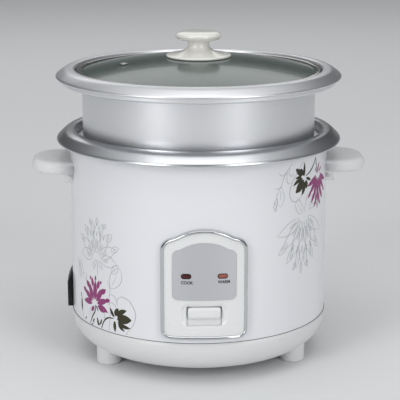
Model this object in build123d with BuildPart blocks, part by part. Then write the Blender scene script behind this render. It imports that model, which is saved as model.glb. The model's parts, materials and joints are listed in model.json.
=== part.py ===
from build123d import *
import os
from math import cos, radians, sin, sqrt

os.makedirs("parts", exist_ok=True)

# Rice cooker with a steamer tray. +Z is up, the control panel faces -Y, the handles stand out
# along X, and the origin is on the table under the middle of the body. Sizes are millimetres.

# ---- Driving dimensions ----
shell_radius = 127.5          # painted steel drum
shell_wall = 1.0
seam_height = 43.5            # where the drum meets the base
shell_top = 223.2
base_radius = 128.0
base_floor = 9.9              # underside of the base above the table
base_wall = 2.5
bowl_width = 32.7             # quarter ellipse between the floor and the seam
bowl_height = 29.4
rim_radius = 140.6            # outer edge of both pressed rims
rim_mouth = 121.2             # opening of both pressed rims
rim_sheet = 1.2
body_rim_edge = 215.7         # height of the outer edge of the body rim
body_rim_rise = 11.2
tray_rim_edge = 277.6         # the same for the steamer tray
tray_rim_rise = 8.6
pot_ledge = 215.9             # ledge of the body rim that carries the pot
pot_radius = 113.0
pot_wall = 1.2
pot_floor = 89.1
tray_radius = 114.5
tray_wall = 0.9
tray_ledge = 277.2            # ledge inside the tray rim that carries the lid
tray_step = 217.3
tray_floor = 205.0
liner_radius = 118.2
liner_wall = 0.8
liner_floor = 66.0
plate_radius = 88.0
plate_top = 89.0
plate_under = 73.0
lid_dome_radius = 487.0
lid_dome_top = 296.3
lid_radius = 118.6
lid_glass_wall = 4.0
running_gap = 0.1
hole_radius = 1.7             # clearance hole of the small screws
shank_radius = 1.6
reach = 140.0                 # length of a cut that surely leaves the body

# Control panel, on the drum's own curvature
panel_skin = 127.6            # inner radius of everything that lies on the drum
panel_face = 130.3
panel_half_width = 41.0
panel_low, panel_high = 48.0, 154.8
trim_width = 3.9
trim_face = 132.2
lamp_x, lamp_z = 17.0, 110.2
lamp_length, lamp_height = 8.8, 4.0
slot_half_width = 16.6
slot_low, slot_high = 61.4, 80.4
slot_middle = (slot_low + slot_high) / 2
lens_inner, lens_face = 124.5, 131.3
lens_gap = 0.2                # around the windows, in width and height
fascia_sheet = 0.55
cut_start = 100.0             # where cuts through the drum's wall start, from its axis
cut_depth = 40.0

# Switch lever and thermostat
pivot_y, pivot_z = -62.0, 56.0
lever_low, lever_sheet = 42.2, 1.6
lever_front = -121.5
pin_radius = 2.0
magnet_low, magnet_high = 71.0, 76.5
ferrite_low = 82.2
rod_radius = 2.0

# Microswitch under the lever
switch_x, switch_y = 16.0, -88.0
switch_low, switch_high = 28.0, 37.4

# Power inlet
inlet_z = 57.3                # height of its pins
pin_spacing = 10.0
inlet_pin_radius = 2.0

# Handles, feet, columns and legs
handle_top, handle_under = 197.5, 185.2
handle_reach = 165.0
foot_ring, foot_radius = 105.0, 12.0
foot_angles = (-150, -30, 90)
column_ring, column_angles = 75.0, (0, 120, 240)
leg_ring, leg_angles = 72.0, (60, 180, 300)
vent_ring, vent_angle = 75.0, -90 - 76.3


def ring_points(ring, angles):
    """Points on a circle about the origin, one for each angle in degrees from +X."""
    return [(ring * cos(radians(angle)), ring * sin(radians(angle))) for angle in angles]


def dome_height(radius, drop=0.0):
    """Height of the lid's dome at a radius, measured this far below its outer face."""
    return lid_dome_top - lid_dome_radius + sqrt((lid_dome_radius - drop) ** 2 - radius**2)


def bent_sheet(points, radii, thickness):
    """Section of a bent sheet in the XZ plane, one thickness to the left of its path."""
    with BuildSketch(Plane.XZ) as section:
        with BuildLine():
            FilletPolyline(*points, radius=radii)
            offset(amount=thickness, side=Side.LEFT)
        make_face()
    return section.sketch


def rim_face(edge, rise):
    """Path of a pressed rim from its outer edge over its crest to its mouth, with its radii."""
    points = [
        (rim_radius + 0.3, edge - 0.7),
        (rim_radius - 1.1, edge + 0.22 * rise),
        (130.2, edge + rise),
        (rim_mouth, edge + rise - 0.2),
    ]
    return points, [0.9, 5.0, 13.0, 3.0]


def arch_sketch(half_width, low, shoulder, neck, crown, corner, inset=0.0):
    """Panel outline in the XZ plane: straight sides, round shoulders and an arched crown.

    shoulder is the height where the sides end, and neck the point where the crown begins.
    """
    neck_x, neck_z = neck
    middle = (half_width - 0.3 * (half_width - neck_x), shoulder + 0.72 * (neck_z - shoulder))
    with BuildSketch(Plane.XZ) as outline:
        with BuildLine():
            Line((half_width, low), (half_width, shoulder))
            ThreePointArc((half_width, shoulder), middle, neck)
            ThreePointArc(neck, (0, crown), (-neck_x, neck_z))
            ThreePointArc((-neck_x, neck_z), (-middle[0], middle[1]), (-half_width, shoulder))
            Line((-half_width, shoulder), (-half_width, low))
            Line((-half_width, low), (half_width, low))
        make_face()
        fillet(outline.vertices().group_by(Axis.Y)[0], radius=corner)
        if inset:
            offset(amount=-inset)
    return outline.sketch


def panel_outline(inset):
    """Outline of the control panel, drawn in from its outer edge."""
    return arch_sketch(panel_half_width, panel_low, 132.0, (28.5, 146.4), panel_high, 9.0, inset)


def fascia_outline(inset):
    """Outline of the silver plate above the switch."""
    return arch_sketch(29.9, 86.8, 129.0, (22.8, 135.2), 142.4, 5.0, inset)


def drum_tube(inner, outer, low=0.0, high=240.0):
    """A tube about Z that cuts a flat outline to the drum's curvature; solid if inner is 0."""
    with BuildPart() as tube:
        with BuildSketch(Plane.XY.offset(low)):
            Circle(outer)
            if inner:
                Circle(inner, mode=Mode.SUBTRACT)
        extrude(amount=high - low)
    return tube.part


def coil_spring(mean_radius, wire, low, high, turns):
    """A compression spring about Z between two seats, with a flat closed turn at each end."""
    lead_in = 0.6 * wire
    pitch = (high - low - 2 * lead_in) / turns
    with BuildPart() as spring:
        with BuildLine() as path:
            Helix(pitch, pitch * turns, mean_radius, center=(0, 0, low + lead_in))
        with BuildSketch(Plane(origin=path.line @ 0, z_dir=path.line % 0)):
            Circle(wire / 2)
        sweep(path=path.line)
        for seat in (low, high - wire):
            with BuildSketch(Plane.XY.offset(seat)):
                Circle(mean_radius + lead_in)
                Circle(mean_radius - lead_in, mode=Mode.SUBTRACT)
            extrude(amount=wire)
    return spring.part


def screws(places, head_radius, head, shank_radius, shank):
    """Screws along one plane's normal: a head of this height, then a shank."""
    with BuildPart() as group:
        for place in places:
            with BuildSketch(place):
                Circle(head_radius)
            extrude(amount=head)
            with BuildSketch(place.offset(head)):
                Circle(shank_radius)
            extrude(amount=shank)
        chamfer(group.edges().filter_by(GeomType.CIRCLE).sort_by(SortBy.RADIUS)[-1:], 0.2)
    return group.part


# ---- Base ----
def bowl(inset):
    """Solid of the base's bowl, up to the seam, drawn in by a wall thickness."""
    floor, radius = base_floor + inset, base_radius - inset
    with BuildPart() as solid:
        with BuildSketch(Plane.XZ):
            with BuildLine():
                Line((0, floor), (base_radius - bowl_width, floor))
                EllipticalCenterArc(
                    (base_radius - bowl_width, base_floor + bowl_height),
                    bowl_width - inset, bowl_height - inset, start_angle=270, arc_size=90,
                )
                Polyline(
                    (radius, base_floor + bowl_height), (radius, seam_height),
                    (0, seam_height), (0, floor),
                )
            make_face()
        revolve(axis=Axis.Z)
    return solid.part


columns = ring_points(column_ring, column_angles)
foot_places = ring_points(foot_ring, foot_angles)
legs = ring_points(leg_ring, leg_angles)
collar_inner, collar_outer = 124.5, 126.3
collar_low, collar_high = 36.0, seam_height + 5.0
column_radius, column_bore = 6.0, 4.0
column_start = base_floor + 1.0
column_seat = base_floor + 49.0
foot_boss_radius, foot_boss_height = 5.0, 13.0
slot_ring, slot_count, slot_length, slot_width = 56.0, 12, 28.0, 3.6

with BuildPart() as base_cover:
    add(bowl(0))
    add(bowl(base_wall), mode=Mode.SUBTRACT)
    add(drum_tube(collar_inner, collar_outer, low=collar_low, high=collar_high))
    with BuildSketch(Plane.XY.offset(column_start)):
        with Locations(*columns):
            Circle(column_radius)
    extrude(amount=liner_floor - running_gap - column_start)
    with BuildSketch(Plane.XY.offset(base_floor + 3.1)):
        with Locations(*foot_places):
            Circle(foot_boss_radius)
    extrude(amount=foot_boss_height)
    with BuildSketch(Plane.XY.offset(column_start)):
        with Locations((switch_x, switch_y)):
            Rectangle(12, 22)
    extrude(amount=switch_low - 0.1 - column_start)
    with BuildSketch(Plane.XY.offset(base_floor - 1)):
        with Locations(*columns):
            Circle(column_bore)
    extrude(amount=column_seat - base_floor + 1, mode=Mode.SUBTRACT)
    with BuildSketch(Plane.XY.offset(base_floor - 1)):
        with Locations(*columns, *foot_places):
            Circle(hole_radius)
    extrude(amount=70, mode=Mode.SUBTRACT)
    with BuildSketch(Plane.XY.offset(base_floor - 1)):
        with PolarLocations(slot_ring, slot_count, start_angle=15):
            SlotOverall(slot_length, slot_width)
    extrude(amount=5, mode=Mode.SUBTRACT)
base_cover.part.label = "base_cover"
export_step(base_cover.part, "parts/base_cover.step")

foot_block, foot_chamfer = 24.0, 1.2
foot_socket_radius, foot_socket_depth = 4.4, 4.0
with BuildPart() as feet:
    with BuildSketch(Plane.XY):
        with Locations(*foot_places):
            Circle(foot_radius)
    extrude(amount=foot_block)
    chamfer(feet.edges().group_by(Axis.Z)[0], foot_chamfer)
    with BuildSketch(Plane.XY):
        with Locations(*foot_places):
            Circle(foot_socket_radius)
    extrude(amount=foot_socket_depth, mode=Mode.SUBTRACT)
    with BuildSketch(Plane.XY):
        with Locations(*foot_places):
            Circle(hole_radius)
    extrude(amount=foot_block + 1, mode=Mode.SUBTRACT)
    add(bowl(0), mode=Mode.SUBTRACT)
feet.part.label = "feet"
export_step(feet.part, "parts/feet.step")

foot_screw_head = 2.3
foot_screw_low = foot_socket_depth - foot_screw_head - running_gap
foot_screw_places = [Plane((x, y, foot_screw_low)) for x, y in foot_places]
with BuildPart() as foot_screws:
    add(screws(foot_screw_places, 3.6, foot_screw_head, shank_radius, 16))
foot_screws.part.label = "foot_screws"
export_step(foot_screws.part, "parts/foot_screws.step")

base_screw_head = 2.3
base_screw_low = column_seat - base_screw_head - running_gap
base_screw_places = [Plane((x, y, base_screw_low)) for x, y in columns]
with BuildPart() as base_screws:
    add(screws(base_screw_places, 3.5, base_screw_head, shank_radius, 11))
base_screws.part.label = "base_screws"
export_step(base_screws.part, "parts/base_screws.step")

# ---- Drum, rim and liner ----
panel_posts = [(x, z) for x in (-33, 33) for z in (62, 126)]
post_radius = 3.0
handle_screw_y = 18.0
handle_screw_z = 190.5
inlet_screw_y, inlet_screw_z = 10.5, 70.5
inlet_screw_points = [(-inlet_screw_y, inlet_screw_z), (inlet_screw_y, inlet_screw_z)]
handle_screw_points = [(-handle_screw_y, handle_screw_z), (handle_screw_y, handle_screw_z)]
lamp_points = [(-lamp_x, lamp_z), (lamp_x, lamp_z)]
shell_lip_radius = 123.2
shell_bend = 2.0
switch_window = (39.0, 38.4, 69.4)      # width, height and middle of the hole for the switch
inlet_window = (27.0, 16.8)

with BuildPart() as outer_shell:
    revolve(
        bent_sheet(
            [(shell_radius, seam_height), (shell_radius, shell_top), (shell_lip_radius, shell_top)],
            [shell_bend], shell_wall,
        ),
        axis=Axis.Z,
    )
    with BuildSketch(Plane.XZ.offset(cut_start)):
        with Locations((0, switch_window[2])):
            RectangleRounded(switch_window[0], switch_window[1], 2)
        with Locations(*lamp_points):
            SlotOverall(lamp_length + 1.4, lamp_height + 1.4)
        with Locations(*panel_posts):
            Circle(post_radius + 0.3)
    extrude(amount=cut_depth, mode=Mode.SUBTRACT)
    with BuildSketch(Plane.YZ):
        with Locations(*handle_screw_points):
            Circle(2.0)
    extrude(amount=reach, both=True, mode=Mode.SUBTRACT)
    with BuildSketch(Plane.YZ.offset(-cut_start)):
        with Locations((0, inlet_z)):
            Rectangle(*inlet_window)
        with Locations(*inlet_screw_points):
            Circle(shank_radius)
    extrude(amount=-cut_depth, mode=Mode.SUBTRACT)
outer_shell.part.label = "outer_shell"
export_step(outer_shell.part, "parts/outer_shell.step")

rim_lip, ledge_mouth = 4.0, 116.4
face_points, face_radii = rim_face(body_rim_edge, body_rim_rise)
with BuildPart() as top_ring:
    revolve(
        bent_sheet(
            [(rim_radius - rim_lip, body_rim_edge - 0.7), *face_points,
             (rim_mouth, pot_ledge), (ledge_mouth, pot_ledge)],
            [*face_radii, 1.3], rim_sheet,
        ),
        axis=Axis.Z,
    )
top_ring.part.label = "top_ring"
export_step(top_ring.part, "parts/top_ring.step")

liner_inner = liner_radius - liner_wall
liner_flange, liner_rim, liner_mouth = 122.0, 214.4, 58.0
bracket_holes = [(-6, -71), (6, -71)]
with BuildPart() as inner_liner:
    revolve(
        bent_sheet(
            [(liner_flange, liner_rim), (liner_inner, liner_rim),
             (liner_inner, liner_floor + liner_wall), (liner_mouth, liner_floor + liner_wall)],
            [1.0, 2.0], liner_wall,
        ),
        axis=Axis.Z,
    )
    with BuildSketch(Plane.XY.offset(liner_floor - 1)):
        with Locations(*columns, *legs, *bracket_holes):
            Circle(hole_radius)
    extrude(amount=3, mode=Mode.SUBTRACT)
inner_liner.part.label = "inner_liner"
export_step(inner_liner.part, "parts/inner_liner.step")

# ---- Heating plate ----
element_ring = 50.0           # rib that the heating element is cast in
rib_low, rib_half_width, rib_slope = 69.0, 3.5, 2.0
cap_hole = 17.2
plate_edge = 2.5
ear_x = 30.0                  # screws of the thermostat bracket
terminal_points = ring_points(element_ring, (76, 104))
terminal_radius, terminal_hole = 3.1, 3.2
with BuildPart() as heating_plate:
    with BuildSketch(Plane.XZ):
        with BuildLine():
            Polyline(
                (cap_hole, plate_under), (element_ring - rib_half_width - rib_slope, plate_under),
                (element_ring - rib_half_width, rib_low), (element_ring + rib_half_width, rib_low),
                (element_ring + rib_half_width + rib_slope, plate_under),
                (plate_radius, plate_under), (plate_radius, plate_top - plate_edge),
                (plate_radius - plate_edge, plate_top), (cap_hole + 1, plate_top),
                (cap_hole, plate_top - 1), close=True,
            )
        make_face()
    revolve(axis=Axis.Z)
    with BuildSketch(Plane.XY.offset(liner_floor + liner_wall)):
        with Locations(*legs):
            Circle(5.5)
    extrude(amount=8)
    with BuildSketch(Plane.XY.offset(60)):
        with Locations(*legs, (-ear_x, 0), (ear_x, 0)):
            Circle(1.65)
        with Locations(*terminal_points):
            Circle(terminal_hole)
    extrude(amount=20, mode=Mode.SUBTRACT)
heating_plate.part.label = "heating_plate"
export_step(heating_plate.part, "parts/heating_plate.step")

plate_screw_head = 2.1
plate_screw_low = liner_floor - plate_screw_head - running_gap
plate_screw_places = [Plane((x, y, plate_screw_low)) for x, y in legs]
with BuildPart() as plate_screws:
    add(screws(plate_screw_places, 3.4, plate_screw_head, shank_radius, 12))
plate_screws.part.label = "plate_screws"
export_step(plate_screws.part, "parts/plate_screws.step")

tab_low = 57.0
with BuildPart() as heater_terminals:
    with BuildSketch(Plane.XY.offset(64)):
        with Locations(*terminal_points):
            Circle(terminal_radius)
    extrude(amount=14)
    with BuildSketch(Plane.XY.offset(tab_low)):
        with Locations(*terminal_points):
            Circle(1.5)
    extrude(amount=8)
heater_terminals.part.label = "heater_terminals"
export_step(heater_terminals.part, "parts/heater_terminals.step")

# ---- Magnetic thermostat ----
cap_inner, cap_wall = 14.7, 0.8
cap_flange_radius, cap_flange_low = 19.6, 70.0
with BuildPart() as thermostat_cap:
    revolve(
        bent_sheet(
            [(0, plate_top - cap_wall), (cap_inner, plate_top - cap_wall),
             (cap_inner, cap_flange_low), (cap_flange_radius, cap_flange_low)],
            [1.2, 0.5], cap_wall,
        ),
        axis=Axis.Z,
    )
thermostat_cap.part.label = "thermostat_cap"
export_step(thermostat_cap.part, "parts/thermostat_cap.step")

with BuildPart() as thermostat_ferrite:
    with BuildSketch(Plane.XY.offset(ferrite_low)):
        Circle(13.2)
    extrude(amount=plate_top - cap_wall - running_gap - ferrite_low)
thermostat_ferrite.part.label = "thermostat_ferrite"
export_step(thermostat_ferrite.part, "parts/thermostat_ferrite.step")

retainer_low, retainer_sheet = 69.1, 0.8
with BuildPart() as thermostat_retainer:
    with BuildSketch(Plane.XY.offset(retainer_low)):
        Circle(cap_flange_radius)
        Circle(5.0, mode=Mode.SUBTRACT)
    extrude(amount=retainer_sheet)
thermostat_retainer.part.label = "thermostat_retainer"
export_step(thermostat_retainer.part, "parts/thermostat_retainer.step")

bracket_low, bracket_sheet = 51.6, 1.2
with BuildPart() as thermostat_spring:
    add(coil_spring(17.0, 1.4, bracket_low + bracket_sheet + running_gap, retainer_low - 0.1, 4))
thermostat_spring.part.label = "thermostat_spring"
export_step(thermostat_spring.part, "parts/thermostat_spring.step")

with BuildPart() as release_spring:
    add(coil_spring(12.4, 0.9, magnet_low + 0.05, ferrite_low - 0.05, 4))
release_spring.part.label = "release_spring"
export_step(release_spring.part, "parts/release_spring.step")

with BuildPart() as magnet:
    with BuildSketch(Plane.XY.offset(magnet_low)):
        Circle(10.5)
    extrude(amount=magnet_high - magnet_low)
    chamfer(magnet.edges().group_by(Axis.Z)[-1], 0.5)
magnet.part.label = "magnet"
export_step(magnet.part, "parts/magnet.step")

holder_sheet = 0.8
with BuildPart() as magnet_holder:
    with BuildSketch(Plane.XY.offset(magnet_low - holder_sheet)):
        Circle(14.2)
        Circle(rod_radius, mode=Mode.SUBTRACT)
    extrude(amount=holder_sheet)
magnet_holder.part.label = "magnet_holder"
export_step(magnet_holder.part, "parts/magnet_holder.step")

collar_heights = (39.0, 46.8)  # the rod's collars below and above the lever
collar_radius, collar_sheet = 5.0, 1.4
with BuildPart() as pull_rod:
    with BuildSketch(Plane.XY.offset(collar_heights[0])):
        Circle(rod_radius)
    extrude(amount=magnet_low - collar_heights[0])
    for collar in collar_heights:
        with BuildSketch(Plane.XY.offset(collar)):
            Circle(collar_radius)
        extrude(amount=collar_sheet)
pull_rod.part.label = "pull_rod"
export_step(pull_rod.part, "parts/pull_rod.step")

bracket_length, bracket_width, bracket_arm = 52.4, 26.0, 14.0
with BuildPart() as thermostat_bracket:
    with BuildSketch(Plane.XY.offset(bracket_low)):
        RectangleRounded(bracket_length, bracket_width, 4)
        Circle(6.4, mode=Mode.SUBTRACT)
    extrude(amount=bracket_sheet)
    for side in (-1, 1):
        with BuildSketch(Plane.XY.offset(bracket_low)):
            with Locations((side * (bracket_length - bracket_sheet) / 2, 0)):
                Rectangle(bracket_sheet, bracket_arm)
        extrude(amount=plate_under - bracket_low)
        with BuildSketch(Plane.XY.offset(plate_under - bracket_sheet)):
            with Locations((side * ear_x, 0)):
                Rectangle(10, bracket_arm)
                Circle(hole_radius, mode=Mode.SUBTRACT)
        extrude(amount=bracket_sheet)
thermostat_bracket.part.label = "thermostat_bracket"
export_step(thermostat_bracket.part, "parts/thermostat_bracket.step")

bracket_screw_head = 1.9
bracket_screw_low = plate_under - bracket_sheet - bracket_screw_head
bracket_screw_places = [Plane((side * ear_x, 0, bracket_screw_low)) for side in (-1, 1)]
with BuildPart() as bracket_screws:
    add(screws(bracket_screw_places, 3.0, bracket_screw_head, shank_radius, 7))
bracket_screws.part.label = "bracket_screws"
export_step(bracket_screws.part, "parts/bracket_screws.step")

warm_x, warm_y, warm_low = -20.0, -28.0, 66.5
tab_offset = 4.0
with BuildPart() as keep_warm_thermostat:
    with BuildSketch(Plane.XY.offset(warm_low)):
        with Locations((warm_x, warm_y)):
            Circle(7)
    extrude(amount=plate_under - warm_low)
    with BuildSketch(Plane.XY.offset(warm_low - 5)):
        with Locations((warm_x - tab_offset, warm_y), (warm_x + tab_offset, warm_y)):
            Rectangle(0.8, 4)
    extrude(amount=6)
keep_warm_thermostat.part.label = "keep_warm_thermostat"
export_step(keep_warm_thermostat.part, "parts/keep_warm_thermostat.step")

fuse_length, fuse_radius, fuse_y = 28.0, 2.5, 34.0
with BuildPart() as thermal_fuse:
    with BuildSketch(Plane.YZ.offset(-fuse_length / 2)):
        with Locations((fuse_y, plate_under - fuse_radius - 0.1)):
            Circle(fuse_radius)
    extrude(amount=fuse_length)
    chamfer(thermal_fuse.edges().filter_by(GeomType.CIRCLE), 0.6)
thermal_fuse.part.label = "thermal_fuse"
export_step(thermal_fuse.part, "parts/thermal_fuse.step")

# ---- Switch lever ----
lever_width, lever_back, lever_top = 16.0, 8.0, 80.0
cheek_x, cheek_top, cheek_width = 7.2, 59.5, 10.0
fork_width, fork_length = 5.4, 13.0     # slot that straddles the pull rod
with BuildPart() as switch_lever:
    with BuildSketch(Plane.XY.offset(lever_low)):
        with Locations((0, (lever_front + lever_back) / 2)):
            Rectangle(lever_width, lever_back - lever_front)
        with Locations((12, switch_y)):
            Rectangle(8, 8)
        with Locations((0, 2)):
            Rectangle(fork_width, fork_length, mode=Mode.SUBTRACT)
    extrude(amount=lever_sheet)
    with BuildSketch(Plane.XZ.offset(-lever_front - lever_sheet)):
        with Locations((0, (lever_low + lever_top) / 2)):
            Rectangle(lever_width, lever_top - lever_low)
    extrude(amount=lever_sheet)
    for side in (-1, 1):
        with BuildSketch(Plane.YZ.offset(side * cheek_x - lever_sheet / 2)):
            with Locations((pivot_y, (lever_low + cheek_top) / 2)):
                RectangleRounded(cheek_width, cheek_top - lever_low, 3)
            with Locations((pivot_y, lever_low + 2)):
                Rectangle(cheek_width, 4)
            with Locations((pivot_y, pivot_z)):
                Circle(pin_radius + 0.06, mode=Mode.SUBTRACT)
        extrude(amount=lever_sheet)
switch_lever.part.label = "switch_lever"
export_step(switch_lever.part, "parts/switch_lever.step")

fork_x, fork_low, fork_sheet = 9.4, 51.0, 1.6
fork_top = liner_floor - running_gap
with BuildPart() as lever_bracket:
    with BuildSketch(Plane.XY.offset(fork_top - fork_sheet)):
        with Locations((0, -68)):
            Rectangle(2 * fork_x + fork_sheet, 20)
        with Locations(*bracket_holes):
            Circle(hole_radius, mode=Mode.SUBTRACT)
    extrude(amount=fork_sheet)
    for side in (-1, 1):
        with BuildSketch(Plane.YZ.offset(side * fork_x - fork_sheet / 2)):
            with Locations((pivot_y, (fork_low + fork_top) / 2)):
                Rectangle(8, fork_top - fork_low)
            with Locations((pivot_y, pivot_z)):
                Circle(pin_radius + 0.02, mode=Mode.SUBTRACT)
        extrude(amount=fork_sheet)
lever_bracket.part.label = "lever_bracket"
export_step(lever_bracket.part, "parts/lever_bracket.step")

pin_length, pin_head_x, pin_head = 24.0, 11.0, 1.2
with BuildPart() as pivot_pin:
    with BuildSketch(Plane.YZ.offset(-pin_length / 2)):
        with Locations((pivot_y, pivot_z)):
            Circle(pin_radius)
    extrude(amount=pin_length)
    for side in (-1, 1):
        with BuildSketch(Plane.YZ.offset(side * pin_head_x - pin_head / 2)):
            with Locations((pivot_y, pivot_z)):
                Circle(3.4)
        extrude(amount=pin_head)
pivot_pin.part.label = "pivot_pin"
export_step(pivot_pin.part, "parts/pivot_pin.step")

lever_screw_head = 2.1
lever_screw_low = fork_top - fork_sheet - lever_screw_head - 0.1
lever_screw_places = [Plane((x, y, lever_screw_low)) for x, y in bracket_holes]
with BuildPart() as lever_screws:
    add(screws(lever_screw_places, 2.9, lever_screw_head, shank_radius, 5))
lever_screws.part.label = "lever_screws"
export_step(lever_screws.part, "parts/lever_screws.step")

switch_width, switch_length = 6.6, 20.0
tab_spacing, tab_z = 6.0, 33.0
with BuildPart() as microswitch:
    with BuildSketch(Plane.XY.offset(switch_low)):
        with Locations((switch_x, switch_y)):
            Rectangle(switch_width, switch_length)
    extrude(amount=switch_high - switch_low)
    with BuildSketch(Plane.XY.offset(switch_high)):
        with Locations((14.6, switch_y)):
            Circle(1.2)
    extrude(amount=1.9)
    with BuildSketch(Plane.YZ.offset(switch_x + switch_width / 2 - 0.1)):
        with Locations(*[(switch_y + step * tab_spacing, tab_z) for step in (-1, 0, 1)]):
            Rectangle(3, 0.8)
    extrude(amount=7)
microswitch.part.label = "microswitch"
export_step(microswitch.part, "parts/microswitch.step")

apron_width, apron_height, apron_middle = 35.0, 30.0, 72.0
apron_inner, apron_outer = 123.4, 124.8
nose_width, nose_height, nose_middle = 30.8, 9.2, 73.6
nose_start, nose_length = 123.6, 8.4
with BuildPart() as cook_paddle:
    with BuildSketch(Plane.XZ.offset(cut_start)):
        with Locations((0, apron_middle)):
            RectangleRounded(apron_width, apron_height, 2)
    extrude(amount=cut_depth)
    add(drum_tube(apron_inner, apron_outer), mode=Mode.INTERSECT)
    with BuildSketch(Plane.XZ.offset(nose_start)):
        with Locations((0, nose_middle)):
            RectangleRounded(nose_width, nose_height, 1.6)
    extrude(amount=nose_length)
    fillet(cook_paddle.faces().sort_by(Axis.Y)[0].edges(), 1.2)
    with BuildSketch(Plane.XZ.offset(118.7)):
        with Locations((0, 73)):
            Rectangle(21, 14)
    extrude(amount=5.2)
    with BuildSketch(Plane.XZ.offset(-lever_front - lever_sheet - 0.05)):
        with Locations((0, apron_middle)):
            Rectangle(lever_width + 0.1, 16.2)
    extrude(amount=lever_sheet + 0.1, mode=Mode.SUBTRACT)
cook_paddle.part.label = "cook_paddle"
export_step(cook_paddle.part, "parts/cook_paddle.step")

# ---- Control panel ----
recess_depth, recess_middle = 1.5, 72.2
recess_width, recess_height = 42.0, 22.6
post_start, post_length = 116.6, 8.5
with BuildPart() as panel_housing:
    extrude(panel_outline(1.0), amount=reach)
    add(drum_tube(panel_skin, panel_face), mode=Mode.INTERSECT)
    with BuildSketch(Plane.XZ.offset(cut_start)):
        with Locations((0, slot_middle)):
            RectangleRounded(2 * slot_half_width, slot_high - slot_low, 1.5)
        with Locations(*lamp_points):
            SlotOverall(lamp_length + lens_gap, lamp_height + lens_gap)
    extrude(amount=cut_depth, mode=Mode.SUBTRACT)
    with BuildSketch(Plane.XZ.offset(panel_face - recess_depth)):
        with Locations((0, recess_middle)):
            RectangleRounded(recess_width, recess_height, 4)
    extrude(amount=10, mode=Mode.SUBTRACT)
    with BuildSketch(Plane.XZ.offset(post_start)):
        with Locations(*panel_posts):
            Circle(post_radius)
    extrude(amount=post_length)
    with BuildSketch(Plane.XZ.offset(post_start - 0.6)):
        with Locations(*panel_posts):
            Circle(1.3)
    extrude(amount=8, mode=Mode.SUBTRACT)
panel_housing.part.label = "panel_housing"
export_step(panel_housing.part, "parts/panel_housing.step")

with BuildPart() as trim_outer:
    extrude(panel_outline(0), amount=reach)
with BuildPart() as trim_inner:
    extrude(panel_outline(trim_width), amount=reach)
with BuildPart() as trim_seat:
    extrude(panel_outline(0.95), amount=reach)
    add(drum_tube(panel_skin - 1, panel_face + 0.05), mode=Mode.INTERSECT)
with BuildPart() as panel_trim:
    add(trim_outer.part)
    add(trim_inner.part, mode=Mode.SUBTRACT)
    add(drum_tube(panel_skin, trim_face), mode=Mode.INTERSECT)
    add(trim_seat.part, mode=Mode.SUBTRACT)
panel_trim.part.label = "panel_trim"
export_step(panel_trim.part, "parts/panel_trim.step")

fascia_inner = panel_face + 0.05
with BuildPart() as panel_plate:
    extrude(fascia_outline(0), amount=reach)
    add(drum_tube(fascia_inner, fascia_inner + fascia_sheet), mode=Mode.INTERSECT)
    with BuildSketch(Plane.XZ.offset(cut_start)):
        with Locations(*lamp_points):
            SlotOverall(lamp_length + lens_gap, lamp_height + lens_gap)
    extrude(amount=cut_depth, mode=Mode.SUBTRACT)
panel_plate.part.label = "panel_plate"
export_step(panel_plate.part, "parts/panel_plate.step")

with BuildPart() as cook_lens:
    with BuildSketch(Plane.XZ.offset(cut_start)):
        with Locations(lamp_points[0]):
            SlotOverall(lamp_length, lamp_height)
    extrude(amount=cut_depth)
    add(drum_tube(lens_inner, lens_face), mode=Mode.INTERSECT)
cook_lens.part.label = "cook_lens"
export_step(cook_lens.part, "parts/cook_lens.step")

with BuildPart() as warm_lens:
    with BuildSketch(Plane.XZ.offset(cut_start)):
        with Locations(lamp_points[1]):
            SlotOverall(lamp_length, lamp_height)
    extrude(amount=cut_depth)
    add(drum_tube(lens_inner, lens_face), mode=Mode.INTERSECT)
warm_lens.part.label = "warm_lens"
export_step(warm_lens.part, "parts/warm_lens.step")

neon_radius, neon_length, neon_low = 2.5, 12.0, 104.0
neon_y = -sqrt(121.4**2 - lamp_x**2)
with BuildPart() as neon_lamps:
    with BuildSketch(Plane.XY.offset(neon_low)):
        with Locations((-lamp_x, neon_y), (lamp_x, neon_y)):
            Circle(neon_radius)
    extrude(amount=neon_length)
    fillet(neon_lamps.edges().group_by(Axis.Z)[-1], 1.5)
neon_lamps.part.label = "neon_lamps"
export_step(neon_lamps.part, "parts/neon_lamps.step")

panel_screw_head = 2.1
panel_screw_y = -(post_start - panel_screw_head - 0.1)
panel_screw_places = [Plane((x, panel_screw_y, z), z_dir=(0, -1, 0)) for x, z in panel_posts]
with BuildPart() as panel_screws:
    add(screws(panel_screw_places, 3.0, panel_screw_head, 1.2, 6))
panel_screws.part.label = "panel_screws"
export_step(panel_screws.part, "parts/panel_screws.step")

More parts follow.
